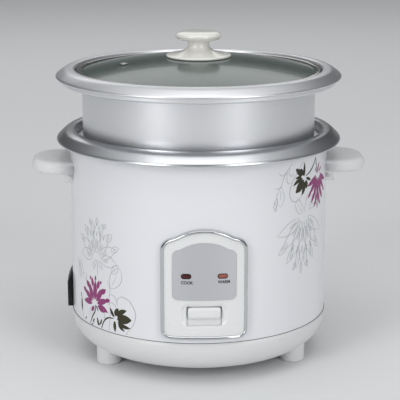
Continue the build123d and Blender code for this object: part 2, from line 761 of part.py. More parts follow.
# ---- Power inlet ----
plate_inner_x, plate_face_x, plate_top_x = -124.0, -132.2, -128.4
inlet_low, inlet_shoulder, inlet_high = 45.0, 71.5, 80.5
inlet_half_width = 15.0
socket_length, socket_width, socket_depth = 20.0, 11.6, 30.0
box_length, box_width = 26.0, 15.8
pin_points = [(-pin_spacing / 2, inlet_z), (pin_spacing / 2, inlet_z)]
with BuildPart() as power_inlet:
    with BuildSketch(Plane.XZ):
        with BuildLine():
            Polyline(
                (plate_inner_x, inlet_low), (plate_face_x, inlet_low),
                (plate_face_x, inlet_shoulder), (plate_top_x, inlet_high),
                (plate_inner_x, inlet_high), close=True,
            )
        make_face()
    extrude(amount=inlet_half_width, both=True)
    fillet(power_inlet.edges().filter_by(Axis.X), 3)
    add(drum_tube(0, panel_skin), mode=Mode.SUBTRACT)
    with BuildSketch(Plane.YZ.offset(-128)):
        with Locations((0, inlet_z)):
            RectangleRounded(box_length, box_width, 2)
    extrude(amount=22)
    with BuildSketch(Plane.YZ.offset(-reach)):
        with Locations((0, inlet_z)):
            SlotOverall(socket_length, socket_width)
    extrude(amount=socket_depth, mode=Mode.SUBTRACT)
    with BuildSketch(Plane.YZ.offset(-reach)):
        with Locations(*pin_points):
            Circle(inlet_pin_radius)
    extrude(amount=40, mode=Mode.SUBTRACT)
    with BuildSketch(Plane.YZ.offset(-reach)):
        with Locations(*inlet_screw_points):
            Circle(1.5)
    extrude(amount=20, mode=Mode.SUBTRACT)
    with BuildSketch(Plane.YZ.offset(-reach)):
        with Locations(*inlet_screw_points):
            Circle(2.9)
    extrude(amount=9.6, mode=Mode.SUBTRACT)
power_inlet.part.label = "power_inlet"
export_step(power_inlet.part, "parts/power_inlet.step")

with BuildPart() as inlet_pins:
    with BuildSketch(Plane.YZ.offset(-123)):
        with Locations(*pin_points):
            Circle(inlet_pin_radius)
    extrude(amount=24)
    chamfer(inlet_pins.edges().group_by(Axis.X)[0], 0.8)
inlet_pins.part.label = "inlet_pins"
export_step(inlet_pins.part, "parts/inlet_pins.step")

inlet_screw_places = [
    Plane((-132.0, y, inlet_screw_z), z_dir=(1, 0, 0)) for y in (-inlet_screw_y, inlet_screw_y)
]
with BuildPart() as inlet_screws:
    add(screws(inlet_screw_places, 2.7, 1.5, 1.4, 9))
inlet_screws.part.label = "inlet_screws"
export_step(inlet_screws.part, "parts/inlet_screws.step")


# ---- Leads inside the base ----
lead_start = -98.9
lead_radius = 1.6


def lead(side, terminal, points, radii):
    """A round insulated lead from an inlet pin to under a heater terminal.

    It is straight runs joined by arcs. side is the pin's side in Y, and points are the places
    between the pin's own height and the terminal's tab.
    """
    start_y = side * pin_spacing / 2
    with BuildPart() as wire:
        with BuildLine() as route:
            FilletPolyline(
                (lead_start, start_y, inlet_z), (-88, start_y, inlet_z), *points,
                (*terminal, tab_low - 0.1), radius=radii,
            )
        with BuildSketch(Plane(origin=route.line @ 0, z_dir=route.line % 0)):
            Circle(lead_radius)
        sweep(path=route.line)
    return wire.part


near_terminal, far_terminal = terminal_points
with BuildPart() as live_lead:
    add(lead(1, far_terminal, [(-60, 26, 50), (-22, 51, 50), (*far_terminal, 50)], [10, 20, 9, 3]))
live_lead.part.label = "live_lead"
export_step(live_lead.part, "parts/live_lead.step")

with BuildPart() as neutral_lead:
    add(lead(-1, near_terminal, [(-58, 14, 40), (-10, 40, 40), (*near_terminal, 46)], [10, 20, 12, 4]))
neutral_lead.part.label = "neutral_lead"
export_step(neutral_lead.part, "parts/neutral_lead.step")

# ---- Handles ----
ear_half_width, ear_corner = 36.0, 28.0
ear_top_round, ear_low_round = 5.6, 4.6
flange_width, flange_height, flange_middle = 66.0, 20.0, 186.5
flange_x = 131.4
pocket_wall, pocket_side, pocket_corner = 3.2, 5.0, 23.0
pocket_start, pocket_depth = 137.0, 8.0
handle_hole = 1.9


def ear_outline(start, end, half_width, corner):
    """Lines of an ear's outline from above: straight from the drum, with two round corners."""
    FilletPolyline(
        (start, -half_width), (end, -half_width), (end, half_width), (start, half_width),
        radius=[corner, corner],
    )
    Line((start, half_width), (start, -half_width))


with BuildPart() as right_handle:
    with BuildSketch(Plane.XY.offset(handle_under)):
        with BuildLine():
            ear_outline(cut_start, handle_reach, ear_half_width, ear_corner)
        make_face()
    extrude(amount=handle_top - handle_under)
    fillet(right_handle.edges().group_by(Axis.Z)[-1], ear_top_round)
    fillet(right_handle.edges().group_by(Axis.Z)[0], ear_low_round)
    with BuildSketch(Plane.YZ.offset(cut_start)):
        with Locations((0, flange_middle)):
            RectangleRounded(flange_width, flange_height, 5)
    extrude(amount=flange_x - cut_start)
    with BuildSketch(Plane.XY.offset(handle_under - 1)):
        with BuildLine():
            ear_outline(
                pocket_start, handle_reach - pocket_wall, ear_half_width - pocket_side, pocket_corner,
            )
        make_face()
    extrude(amount=pocket_depth + 1, mode=Mode.SUBTRACT)
    add(drum_tube(0, shell_radius + 0.05), mode=Mode.SUBTRACT)
    with BuildSketch(Plane.YZ.offset(cut_start)):
        with Locations(*handle_screw_points):
            Circle(handle_hole)
    extrude(amount=34, mode=Mode.SUBTRACT)
right_handle.part.label = "right_handle"
export_step(right_handle.part, "parts/right_handle.step")

with BuildPart() as left_handle:
    mirror(right_handle.part, about=Plane.YZ)
left_handle.part.label = "left_handle"
export_step(left_handle.part, "parts/left_handle.step")

handle_screw_x = 122.2
handle_screw_places = [
    Plane((side * handle_screw_x, y, z), z_dir=(side, 0, 0))
    for side in (-1, 1) for y, z in handle_screw_points
]
with BuildPart() as handle_screws:
    add(screws(handle_screw_places, 3.4, 2.2, handle_hole - 0.05, 9))
handle_screws.part.label = "handle_screws"
export_step(handle_screws.part, "parts/handle_screws.step")

# ---- Pot and steamer tray ----
pot_inner = pot_radius - pot_wall
pot_flange, pot_rim = 120.4, pot_ledge + running_gap + pot_wall
with BuildPart() as inner_pot:
    revolve(
        bent_sheet(
            [(pot_flange, pot_rim), (pot_inner, pot_rim),
             (pot_inner, pot_floor + pot_wall), (0, pot_floor + pot_wall)],
            [2.0, 14.0], pot_wall,
        ),
        axis=Axis.Z,
    )
inner_pot.part.label = "inner_pot"
export_step(inner_pot.part, "parts/inner_pot.step")

tray_inner = tray_radius - tray_wall
skirt_inner = 109.6
bead_inner, bead_outer, bead_drop = 131.4, 135.2, 5.8      # rolled bead under the rim
steam_rings = ((24, 8), (48, 16), (72, 24), (94, 32))       # radius, and number of holes
steam_hole = 2.6
face_points, face_radii = rim_face(tray_rim_edge, tray_rim_rise)
with BuildPart() as steamer_tray:
    revolve(
        bent_sheet(
            [(bead_inner, tray_rim_edge - bead_drop), (bead_outer, tray_rim_edge - bead_drop),
             (bead_outer, tray_rim_edge - 0.9), *face_points,
             (rim_mouth, tray_ledge), (tray_inner, tray_ledge),
             (tray_inner, tray_step + tray_wall), (skirt_inner, tray_step + tray_wall),
             (skirt_inner, tray_floor + tray_wall), (0, tray_floor + tray_wall)],
            [1.9, 1.0, *face_radii, 1.2, 1.2, 0.5, 1.2, 3.0], tray_wall,
        ),
        axis=Axis.Z,
    )
    with BuildSketch(Plane.XY.offset(tray_floor - 1)):
        for ring, count in steam_rings:
            with PolarLocations(ring, count):
                Circle(steam_hole)
    extrude(amount=4, mode=Mode.SUBTRACT)
steamer_tray.part.label = "steamer_tray"
export_step(steamer_tray.part, "parts/steamer_tray.step")

# ---- Lid ----
arc_radius = 60.0             # a point on the dome's arc
vent_x = vent_ring * cos(radians(vent_angle))
vent_y = vent_ring * sin(radians(vent_angle))
vent_top = dome_height(vent_ring)
with BuildPart() as lid_glass:
    with BuildSketch(Plane.XZ):
        with BuildLine():
            ThreePointArc(
                (0, lid_dome_top), (arc_radius, dome_height(arc_radius)),
                (lid_radius, dome_height(lid_radius)),
            )
            Line(
                (lid_radius, dome_height(lid_radius)),
                (lid_radius, dome_height(lid_radius, lid_glass_wall)),
            )
            ThreePointArc(
                (lid_radius, dome_height(lid_radius, lid_glass_wall)),
                (arc_radius, dome_height(arc_radius, lid_glass_wall)),
                (0, lid_dome_top - lid_glass_wall),
            )
            Line((0, lid_dome_top - lid_glass_wall), (0, lid_dome_top))
        make_face()
    revolve(axis=Axis.Z)
    with BuildSketch(Plane.XY.offset(250)):
        Circle(3.6)
        with Locations((vent_x, vent_y)):
            Circle(2.6)
    extrude(amount=60, mode=Mode.SUBTRACT)
lid_glass.part.label = "lid_glass"
export_step(lid_glass.part, "parts/lid_glass.step")

band_middle, band_width, band_top = 117.6, 4.0, 284.0
band_low = tray_ledge + running_gap
with BuildPart() as lid_band:
    with BuildSketch(Plane.XZ):
        with Locations((band_middle, (band_low + band_top) / 2)):
            RectangleRounded(band_width, band_top - band_low, 0.9)
    revolve(axis=Axis.Z)
    add(lid_glass.part, mode=Mode.SUBTRACT)
lid_band.part.label = "lid_band"
export_step(lid_band.part, "parts/lid_band.step")

vent_low, vent_high = vent_top - 5.6, vent_top + 1.8
with BuildPart() as steam_vent:
    for low, high, radius in (
        (vent_low, vent_high, 2.5), (vent_high - 1.2, vent_high, 4.2), (vent_low, vent_low + 0.8, 3.8),
    ):
        with BuildSketch(Plane.XY.offset(low)):
            with Locations((vent_x, vent_y)):
                Circle(radius)
        extrude(amount=high - low)
    with BuildSketch(Plane.XY.offset(vent_low - 1.4)):
        with Locations((vent_x, vent_y)):
            Circle(1.6)
    extrude(amount=12, mode=Mode.SUBTRACT)
    fillet(steam_vent.edges().group_by(Axis.Z)[-1], 0.4)
steam_vent.part.label = "steam_vent"
export_step(steam_vent.part, "parts/steam_vent.step")

knob_foot = dome_height(31.5) + 0.35
knob_top, knob_radius = 321.3, 22.8
disc_edge, disc_under, neck_top = (11, 321.0), (12.5, 311.4), (10.3, 307.8)
flange_edge = (30.2, knob_foot + 2.6)
stem_foot = lid_dome_top + running_gap
with BuildPart() as lid_knob:
    with BuildSketch(Plane.XZ):
        with BuildLine():
            Line((0, knob_top), disc_edge)
            Bezier(disc_edge, (18.5, 320.7), (knob_radius, 319.2), (knob_radius, 316.3))
            Bezier((knob_radius, 316.3), (knob_radius, 313.4), (18.5, 311.9), disc_under)
            Bezier(disc_under, (10.6, 311.2), (10.2, 309.8), neck_top)
            Bezier(neck_top, (10.8, 302.6), (15.5, 300.4), flange_edge)
            Bezier(flange_edge, (32.2, knob_foot + 2.2), (32.2, knob_foot + 0.4), (31.0, knob_foot))
            Line((31.0, knob_foot), (27.5, knob_foot))
            Polyline(
                (27.5, knob_foot), (27.5, knob_foot + 1.2), (6.0, knob_foot + 1.6),
                (6.0, stem_foot), (0, stem_foot), (0, knob_top),
            )
        make_face()
    revolve(axis=Axis.Z)
    with BuildSketch(Plane.XY.offset(290)):
        Circle(2.05)
    extrude(amount=22, mode=Mode.SUBTRACT)
lid_knob.part.label = "lid_knob"
export_step(lid_knob.part, "parts/lid_knob.step")

washer_top = lid_dome_top - lid_glass_wall - 0.3
with BuildPart() as knob_washer:
    with BuildSketch(Plane.XY.offset(washer_top - 2.4)):
        Circle(14)
        Circle(2.2, mode=Mode.SUBTRACT)
    extrude(amount=2.4)
    chamfer(knob_washer.edges().group_by(Axis.Z)[0].sort_by(SortBy.LENGTH)[-1], 0.8)
knob_washer.part.label = "knob_washer"
export_step(knob_washer.part, "parts/knob_washer.step")

with BuildPart() as knob_screw:
    add(screws([Plane((0, 0, washer_top - 4.6))], 4.0, 2.1, 2.0, 22))
knob_screw.part.label = "knob_screw"
export_step(knob_screw.part, "parts/knob_screw.step")
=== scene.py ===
"""Rice cooker with a steamer tray: shown surfaces, finishes, print and studio.

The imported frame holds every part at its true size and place. The classes below give each
sub-assembly its shown surface and its finish. Sizes are millimetres, +Z is up, and the control
panel faces -Y.
"""

import json
import logging
import math
from dataclasses import dataclass
from enum import Enum
from typing import Sequence

import bmesh
import bpy
import numpy as np
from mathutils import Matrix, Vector


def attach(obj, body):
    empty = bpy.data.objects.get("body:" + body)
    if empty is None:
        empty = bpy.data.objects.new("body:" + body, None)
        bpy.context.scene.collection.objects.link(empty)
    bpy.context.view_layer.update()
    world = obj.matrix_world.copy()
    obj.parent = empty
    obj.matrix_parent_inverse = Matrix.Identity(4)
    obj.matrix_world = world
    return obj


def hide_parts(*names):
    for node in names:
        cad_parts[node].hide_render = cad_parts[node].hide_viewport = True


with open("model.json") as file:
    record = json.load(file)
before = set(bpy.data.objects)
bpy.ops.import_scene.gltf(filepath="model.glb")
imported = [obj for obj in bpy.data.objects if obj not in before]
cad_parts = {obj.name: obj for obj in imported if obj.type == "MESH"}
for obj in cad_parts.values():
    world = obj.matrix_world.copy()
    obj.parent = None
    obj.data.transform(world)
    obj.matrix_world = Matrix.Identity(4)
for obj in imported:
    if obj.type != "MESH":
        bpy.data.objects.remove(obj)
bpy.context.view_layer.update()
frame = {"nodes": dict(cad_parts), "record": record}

MM = 0.001
LOG = logging.getLogger("rice_cooker")
Patch = tuple[np.ndarray, np.ndarray]


# ---- Colour and nodes ----
def linear(colour: str) -> tuple[float, float, float, float]:
    """Linear RGBA of an sRGB hex colour.

    Args:
        colour: such as "#e8e9eb".

    Returns:
        The four linear channels, with alpha 1.
    """
    channels = np.array([int(colour[i : i + 2], 16) for i in (1, 3, 5)]) / 255.0
    low, high = channels / 12.92, ((channels + 0.055) / 1.055) ** 2.4
    return (*np.where(channels <= 0.04045, low, high).tolist(), 1.0)


def add_node(
    tree: bpy.types.NodeTree, kind: str, inputs: dict | None = None, **settings: object
) -> bpy.types.Node:
    """Adds one node to a tree.

    Args:
        tree: the material's or world's node tree.
        kind: the node's class name.
        inputs: a socket to link, or a value to set, for each input name or number.
        **settings: the node's own properties.

    Returns:
        The new node.
    """
    node = tree.nodes.new(kind)
    for key, value in settings.items():
        setattr(node, key, value)
    for key, value in (inputs or {}).items():
        if isinstance(value, bpy.types.NodeSocket):
            tree.links.new(value, node.inputs[key])
        else:
            node.inputs[key].default_value = value
    return node


class Grain(Enum):
    """How a surface was made, which sets the direction of its texture."""

    MOULDED = "even fine texture in every direction"
    SPUN = "fine rings about the cooker's axis"
    BRUSHED = "short level scratches"


@dataclass(frozen=True)
class Finish:
    """One real material and how its surface was made.

    The grain is noise whose size comes from grain_mm. It spreads the roughness by spread, darkens
    the colour by up to shade, and lifts the surface by relief_mm.
    """

    title: str
    colour: str
    roughness: float
    metallic: float = 0.0
    ior: float = 1.5
    coat: float = 0.0
    coat_roughness: float = 0.05
    transmission: float = 0.0
    glow: float = 0.0
    grain: Grain = Grain.MOULDED
    grain_mm: float = 1.2
    relief_mm: float = 0.01
    spread: float = 0.05
    shade: float = 0.03

    def texture(self, tree: bpy.types.NodeTree) -> bpy.types.NodeSocket:
        """Noise along the grain, from 0 to 1.

        Spun rings read the noise at (radius, height), and brushed scratches read it at places
        squeezed to a fiftieth along X, so both stretch the noise the way that the tool moved.

        Args:
            tree: the material's node tree.

        Returns:
            The noise's output socket.
        """
        place = add_node(tree, "ShaderNodeTexCoord").outputs["Object"]
        if self.grain is Grain.SPUN:
            axes = add_node(tree, "ShaderNodeSeparateXYZ", {0: place})
            flat = add_node(tree, "ShaderNodeCombineXYZ", {0: axes.outputs[0], 1: axes.outputs[1]})
            radius = add_node(
                tree, "ShaderNodeVectorMath", {0: flat.outputs[0]}, operation="LENGTH"
            )
            place = add_node(
                tree, "ShaderNodeCombineXYZ", {0: radius.outputs["Value"], 1: axes.outputs[2]}
            ).outputs[0]
        elif self.grain is Grain.BRUSHED:
            place = add_node(
                tree, "ShaderNodeMapping", {"Vector": place, "Scale": (0.02, 1.0, 1.0)}
            ).outputs[0]
        noise = add_node(
            tree,
            "ShaderNodeTexNoise",
            {"Vector": place, "Scale": 1.0 / (self.grain_mm * MM), "Detail": 3.0},
        )
        return noise.outputs["Fac"]

    def material(self) -> bpy.types.Material:
        """The finish as a material, made once and then shared."""
        made = bpy.data.materials.get(self.title)
        if made:
            return made
        made = bpy.data.materials.new(self.title)
        made.use_nodes = True
        tree = made.node_tree
        tree.nodes.clear()
        texture = self.texture(tree)
        bright = linear(self.colour)
        dark = tuple(c * (1.0 - self.shade) for c in bright[:3]) + (1.0,)
        tone = add_node(tree, "ShaderNodeMix", {0: texture, 6: dark, 7: bright}, data_type="RGBA")
        rough = add_node(
            tree,
            "ShaderNodeMapRange",
            {0: texture, 3: max(self.roughness - self.spread, 0.0), 4: self.roughness + self.spread},
        )
        bump = add_node(
            tree, "ShaderNodeBump", {"Height": texture, "Distance": self.relief_mm * MM}
        )
        inputs = {
            "Base Color": tone.outputs[2],
            "Roughness": rough.outputs[0],
            "Normal": bump.outputs[0],
            "Metallic": self.metallic,
            "Coat Weight": self.coat,
            "Coat Roughness": self.coat_roughness,
            "Transmission Weight": self.transmission,
        }
        if not self.metallic:
            inputs["IOR"] = self.ior
        if self.glow:
            inputs |= {"Emission Color": bright, "Emission Strength": self.glow}
        shader = add_node(tree, "ShaderNodeBsdfPrincipled", inputs)
        add_node(tree, "ShaderNodeOutputMaterial", {"Surface": shader.outputs[0]})
        return made


# Baked white enamel over the drum: glassy top coat with a faint orange peel.
ENAMEL = Finish(
    "baked_white_enamel", "#e9eaee", 0.3, coat=0.6, coat_roughness=0.04, grain_mm=3.0,
    relief_mm=0.006, spread=0.03, shade=0.012,
)
# Pressed aluminium with a satin polish: soft broad highlights and faint spun rings.
SATIN_RIM = Finish(
    "satin_pressed_aluminium", "#d9dbde", 0.3, 1.0, grain=Grain.SPUN, grain_mm=0.5,
    relief_mm=0.002, spread=0.04, shade=0.04,
)
# Deep-drawn aluminium wall: fine draw rings and a milky shine.
DRAWN_WALL = Finish(
    "drawn_aluminium", "#dcdde0", 0.34, 1.0, grain=Grain.SPUN, grain_mm=0.6, relief_mm=0.004,
    spread=0.06, shade=0.06,
)
# White moulded polypropylene of the base and handles: slightly waxy, fine spark grain.
WHITE_MOULDING = Finish(
    "moulded_white_polypropylene", "#e3e3e4", 0.38, grain_mm=0.8, relief_mm=0.008, shade=0.02,
)
# White moulded ABS of the panel: a little glossier than the base.
WHITE_ABS = Finish(
    "moulded_white_abs", "#e8e9e9", 0.28, grain_mm=0.8, relief_mm=0.004, shade=0.015, coat=0.2,
)
# Off-white phenolic of the knob: warm, hard and polished.
KNOB_PHENOLIC = Finish(
    "polished_ivory_phenolic", "#edece6", 0.22, ior=1.6, coat=0.3, grain_mm=1.5,
    relief_mm=0.004, shade=0.02,
)
# Chrome-plated ABS trim: mirror with hardly any haze.
CHROME = Finish(
    "chrome_plated_abs", "#cfd1d3", 0.07, 1.0, grain_mm=2.0, relief_mm=0.002, spread=0.02,
    shade=0.02,
)
# Brushed silver film of the panel plate: level scratches that smear the reflections.
BRUSHED_PLATE = Finish(
    "brushed_silver_film", "#d2d3d7", 0.33, 0.8, grain=Grain.BRUSHED, grain_mm=0.35,
    relief_mm=0.002, spread=0.08, shade=0.08,
)
# Tempered grey-green glass: dense tint, with a soft bloom inside.
TINTED_GLASS = Finish(
    "tempered_grey_green_glass", "#74857f", 0.2, ior=1.45, transmission=0.5, coat=0.2,
    coat_roughness=0.03, grain_mm=6.0, relief_mm=0.004, spread=0.03, shade=0.05,
)
# Polycarbonate windows: dyed through and polished.
RED_LENS = Finish(
    "dyed_red_polycarbonate", "#5a0309", 0.3, ior=1.5, transmission=0.25, coat=0.1,
    grain_mm=0.7, relief_mm=0.02, shade=0.3,
)
# The amber window also glows faintly: painted light, since the window itself is no lamp.
AMBER_LENS = Finish(
    "dyed_amber_polycarbonate_painted_glow", "#ad6252", 0.25, ior=1.5, transmission=0.2, coat=0.1,
    grain_mm=0.7, relief_mm=0.02, shade=0.2, glow=0.06,
)
# Dark rims round the windows: painted shade, darker copies of each lens's colour for its edge where it
# takes no light.
RED_WINDOW_SHADE_RIM = Finish("red_window_painted_shade_rim", "#190709", 0.3, grain_mm=0.8, shade=0.2)
AMBER_WINDOW_SHADE_RIM = Finish("amber_window_painted_shade_rim", "#4d302b", 0.3, grain_mm=0.8, shade=0.2)
# Dark grey rubber strip in the seam: painted shade, a dark line that stands for the shadow in the gap
# between the drum and the base.
SEAM_SHADOW_RUBBER = Finish("grey_seam_shadow_rubber", "#6d6f72", 0.7, grain_mm=1.0, relief_mm=0.02, shade=0.2)
# Black nylon of the inlet: matt, with a spark-eroded texture.
BLACK_NYLON = Finish(
    "moulded_black_nylon", "#0b0c0d", 0.5, ior=1.45, grain_mm=0.6, relief_mm=0.02, shade=0.3,
)
# Silk-screen inks: flat, slightly raised films.
MAGENTA_INK = Finish("magenta_screen_ink", "#99397a", 0.45, grain_mm=2.5, relief_mm=0.003, shade=0.2)
OLIVE_INK = Finish("olive_screen_ink", "#332f12", 0.5, grain_mm=2.5, relief_mm=0.003, shade=0.3)
GREY_INK = Finish("grey_screen_ink", "#a9abae", 0.4, grain_mm=2.5, relief_mm=0.002, shade=0.1)
BLACK_INK = Finish("black_screen_ink", "#26272a", 0.4, grain_mm=0.5, relief_mm=0.002, shade=0.2)

# Finish of every material slot of the frame, for the parts whose own shape is shown.
SLOT_FINISHES: dict[str, Finish] = {
    "white_enamel": ENAMEL,
    "silver_rim": SATIN_RIM,
    "white_plastic": WHITE_MOULDING,
    "ivory_plastic": KNOB_PHENOLIC,
    "drawn_aluminium": DRAWN_WALL,
    "chrome_trim": CHROME,
    "brushed_fascia": BRUSHED_PLATE,
    "red_lens": RED_LENS,
    "amber_lens": AMBER_LENS,
    "lid_glass": TINTED_GLASS,
    "black_plastic": BLACK_NYLON,
    # Zinc-plated steel brackets and screws: bluish, faintly mottled.
    "zinc_steel": Finish(
        "zinc_plated_steel", "#b9bec4", 0.35, 1.0, grain_mm=2.0, relief_mm=0.006, spread=0.1,
        shade=0.12,
    ),
    # Die-cast aluminium heating plate, turned flat on top: spun rings.
    "cast_aluminium": Finish(
        "turned_cast_aluminium", "#b4b5b6", 0.42, 1.0, grain=Grain.SPUN, grain_mm=0.7,
        relief_mm=0.01, spread=0.08, shade=0.15,
    ),
    # Blued spring wire.
    "spring_steel": Finish("blued_spring_wire", "#7e8288", 0.3, 1.0, grain_mm=0.8, shade=0.2),
    # Sintered ferrite: dark grey and dry.
    "ferrite": Finish(
        "sintered_ferrite", "#3a3a3d", 0.6, ior=2.3, grain_mm=0.5, relief_mm=0.02, shade=0.3,
    ),
    # Glazed porcelain bushings.
    "porcelain": Finish("glazed_porcelain", "#e9e4d8", 0.2, ior=1.52, coat=0.4, shade=0.05),
    # Clear soda glass of the neon lamps, with the orange glow of the electrodes.
    "lamp_glass": Finish(
        "neon_lamp_glass", "#e3a06c", 0.1, ior=1.52, transmission=0.5, glow=0.3, shade=0.1,
    ),
    # Drawn brass pins.
    "brass": Finish("drawn_brass", "#c9a65a", 0.28, 1.0, grain_mm=0.8, shade=0.1),
    # Silicone-coated glass-fibre sleeve of the leads.
    "fibre_sleeve": Finish(
        "glass_fibre_sleeve", "#d9d3c4", 0.7, grain_mm=0.7, relief_mm=0.06, shade=0.25,
    ),
    # Stainless steel eyelet and band: bright and slightly warm.
    "stainless": Finish(
        "polished_stainless", "#cfcfcc", 0.2, 1.0, grain=Grain.SPUN, grain_mm=0.5,
        relief_mm=0.002, spread=0.04, shade=0.05,
    ),
}


# ---- Surfaces ----
def unit(vectors: np.ndarray) -> np.ndarray:
    """The vectors along the last axis, each divided by its length."""
    return vectors / np.maximum(np.linalg.norm(vectors, axis=-1, keepdims=True), 1e-9)


def grid_quads(rows: int, columns: int, ring_rows: bool, ring_columns: bool) -> np.ndarray:
    """Quads of a grid of points numbered row by row.

    Args:
        rows: number of rows.
        columns: number of columns.
        ring_rows: whether the last row joins the first.
        ring_columns: whether the last column joins the first.

    Returns:
        Array of four point numbers for each quad.
    """
    row, column = np.meshgrid(
        np.arange(rows if ring_rows else rows - 1),
        np.arange(columns if ring_columns else columns - 1),
        indexing="ij",
    )
    below, beside = (row + 1) % rows, (column + 1) % columns
    corners = [
        row * columns + column, below * columns + column,
        below * columns + beside, row * columns + beside,
    ]
    return np.stack(corners, axis=-1).reshape(-1, 4)


def sheet_quads(rows: int, across: int) -> np.ndarray:
    """Quads of a closed sheet, whose rows go across its face and back across its rear.

    Args:
        rows: number of rows.
        across: number of points across one side.

    Returns:
        The quads of both sides and of the two ends.
    """
    columns, step = 2 * across, np.arange(across - 1)
    cap = np.stack([step, step + 1, columns - 2 - step, columns - 1 - step], axis=1)
    ends = [cap, cap[:, ::-1] + (rows - 1) * columns]
    return np.vstack([grid_quads(rows, columns, False, True), *ends])


def outward(vertices: np.ndarray, quads: np.ndarray) -> Patch:
    """A closed patch whose faces point outwards.

    The signed volume is the sum over the triangles of a . (b x c) / 6. Where it is negative, each
    face is turned round.

    Args:
        vertices: points, one to a row.
        quads: four point numbers to a row.

    Returns:
        The points and the quads, turned if needed.
    """
    a, b, c, d = (vertices[quads[:, i]] for i in range(4))
    volume = np.einsum("ij,ij->", a, np.cross(b, c)) + np.einsum("ij,ij->", a, np.cross(c, d))
    return vertices, quads if volume > 0 else quads[:, ::-1]


def rounded_path(
    corners: Sequence[tuple[float, float]], radii: Sequence[float], step: float = 7.0
) -> np.ndarray:
    """A flat path with its inner corners rounded by tangent arcs.

    For a turn t between the unit directions a and b, the arc of radius r starts r tan(t/2) before
    the corner, and its point at share s is start + r (sin(s t) a + (1 - cos(s t)) n), where n is
    the normal of a on b's side.

    Args:
        corners: the path's corners.
        radii: one radius for each inner corner.
        step: degrees between the points of an arc.

    Returns:
        The path's points, one to a row.
    """
    points = np.array(corners, float)
    pieces = [points[:1]]
    for before, corner, after, radius in zip(points, points[1:], points[2:], radii):
        a, b = unit(corner - before), unit(after - corner)
        turn = math.acos(float(np.clip(a @ b, -1.0, 1.0)))
        normal = unit(b - (a @ b) * a)
        start = corner - radius * math.tan(turn / 2) * a
        share = np.linspace(0, turn, max(2, math.ceil(math.degrees(turn) / step) + 1))[:, None]
        pieces.append(start + radius * (np.sin(share) * a + (1 - np.cos(share)) * normal))
    return np.vstack([*pieces, points[-1:]])


def sheet_section(path: np.ndarray, wall: float) -> np.ndarray:
    """Closed section of a sheet: the path, and back along it one wall to its left.

    A point moves along the sum of its two edges' unit normals, scaled so that it stays one wall
    away from both edges.

    Args:
        path: the shown face, one point to a row.
        wall: the sheet's thickness.

    Returns:
        The loop's points.
    """
    edge = unit(np.diff(path, axis=0))
    normal = np.stack([-edge[:, 1], edge[:, 0]], axis=1)
    first, last = np.vstack([normal[:1], normal]), np.vstack([normal, normal[-1:]])
    mitre = (first + last) / (1.0 + np.einsum("ij,ij->i", first, last))[:, None]
    return np.vstack([path, (path + wall * mitre)[::-1]])


def turned(section: np.ndarray, closed: bool, segments: int = 192) -> Patch:
    """A section turned about Z: (r, z) goes to (r cos a, r sin a, z).

    A face's normal points to the right of the section's direction, so the section has its
    material on its left.

    Args:
        section: (radius, height) points.
        closed: whether the last point joins the first.
        segments: steps round the turn.

    Returns:
        The surface.
    """
    angle = np.linspace(0, 2 * np.pi, segments, endpoint=False)
    radius, height = section.T
    across = [np.outer(np.cos(angle), radius), np.outer(np.sin(angle), radius)]
    vertices = np.stack([*across, np.tile(height, (segments, 1))], axis=-1).reshape(-1, 3)
    return vertices, grid_quads(segments, len(section), True, closed)


def lathe(section: np.ndarray, segments: int = 192) -> Patch:
    """A closed section turned about Z, facing outwards."""
    return outward(*turned(section, True, segments))


def on_drum(x: np.ndarray, z: np.ndarray, radius: np.ndarray | float) -> np.ndarray:
    """Points straight behind a flat (x, z) drawing, on a cylinder: y = -sqrt(radius^2 - x^2)."""
    return np.stack(np.broadcast_arrays(x, -np.sqrt(radius**2 - x**2), z), axis=-1)


def wrapped(arc: np.ndarray, z: np.ndarray, radius: np.ndarray | float, drum: float) -> np.ndarray:
    """Points of a label wrapped round the drum: x = r sin(arc/drum), y = -r cos(arc/drum)."""
    turn = arc / drum
    return np.stack(np.broadcast_arrays(radius * np.sin(turn), -radius * np.cos(turn), z), axis=-1)


def even_loop(points: np.ndarray, count: int, soften: int = 0) -> np.ndarray:
    """A closed path resampled at equal steps and softened.

    Softening replaces each point by a quarter of its neighbours' sum and half of itself, as many
    times as asked, so that a kink becomes a small round.

    Args:
        points: the loop's corners, first not repeated.
        count: number of points wanted.
        soften: rounds of softening.

    Returns:
        The new loop.
    """
    closed = np.vstack([points, points[:1]])
    length = np.concatenate([[0], np.cumsum(np.linalg.norm(np.diff(closed, axis=0), axis=1))])
    places = np.linspace(0, length[-1], count, endpoint=False)
    loop = np.stack([np.interp(places, length, closed[:, i]) for i in range(2)], axis=1)
    for _ in range(soften):
        loop = 0.5 * loop + 0.25 * (np.roll(loop, 1, axis=0) + np.roll(loop, -1, axis=0))
    return loop


def bead(loop: np.ndarray, section: np.ndarray, inset: float = 0.0) -> Patch:
    """A closed bead that follows a loop drawn on the drum.

    A point is on_drum(place + (inset + across) n, height), where n is the loop's normal towards
    its inside, and (across, height) is the section's point.

    Args:
        loop: (x, z) points in order.
        section: closed loop of (distance inwards, radius) points.
        inset: distance of the section's own zero from the loop.

    Returns:
        The closed surface.
    """
    along = unit(np.roll(loop, -1, axis=0) - np.roll(loop, 1, axis=0))
    inwards = np.stack([-along[:, 1], along[:, 0]], axis=1)
    centre = loop.mean(axis=0)
    if np.mean(np.einsum("ij,ij->i", inwards, centre - loop)) < 0:
        inwards = -inwards
    flat = loop[:, None, :] + inwards[:, None, :] * (inset + section[None, :, :1])
    vertices = on_drum(flat[..., 0], flat[..., 1], section[None, :, 1])
    return outward(
        vertices.reshape(-1, 3), grid_quads(len(loop), len(section), True, True)
    )


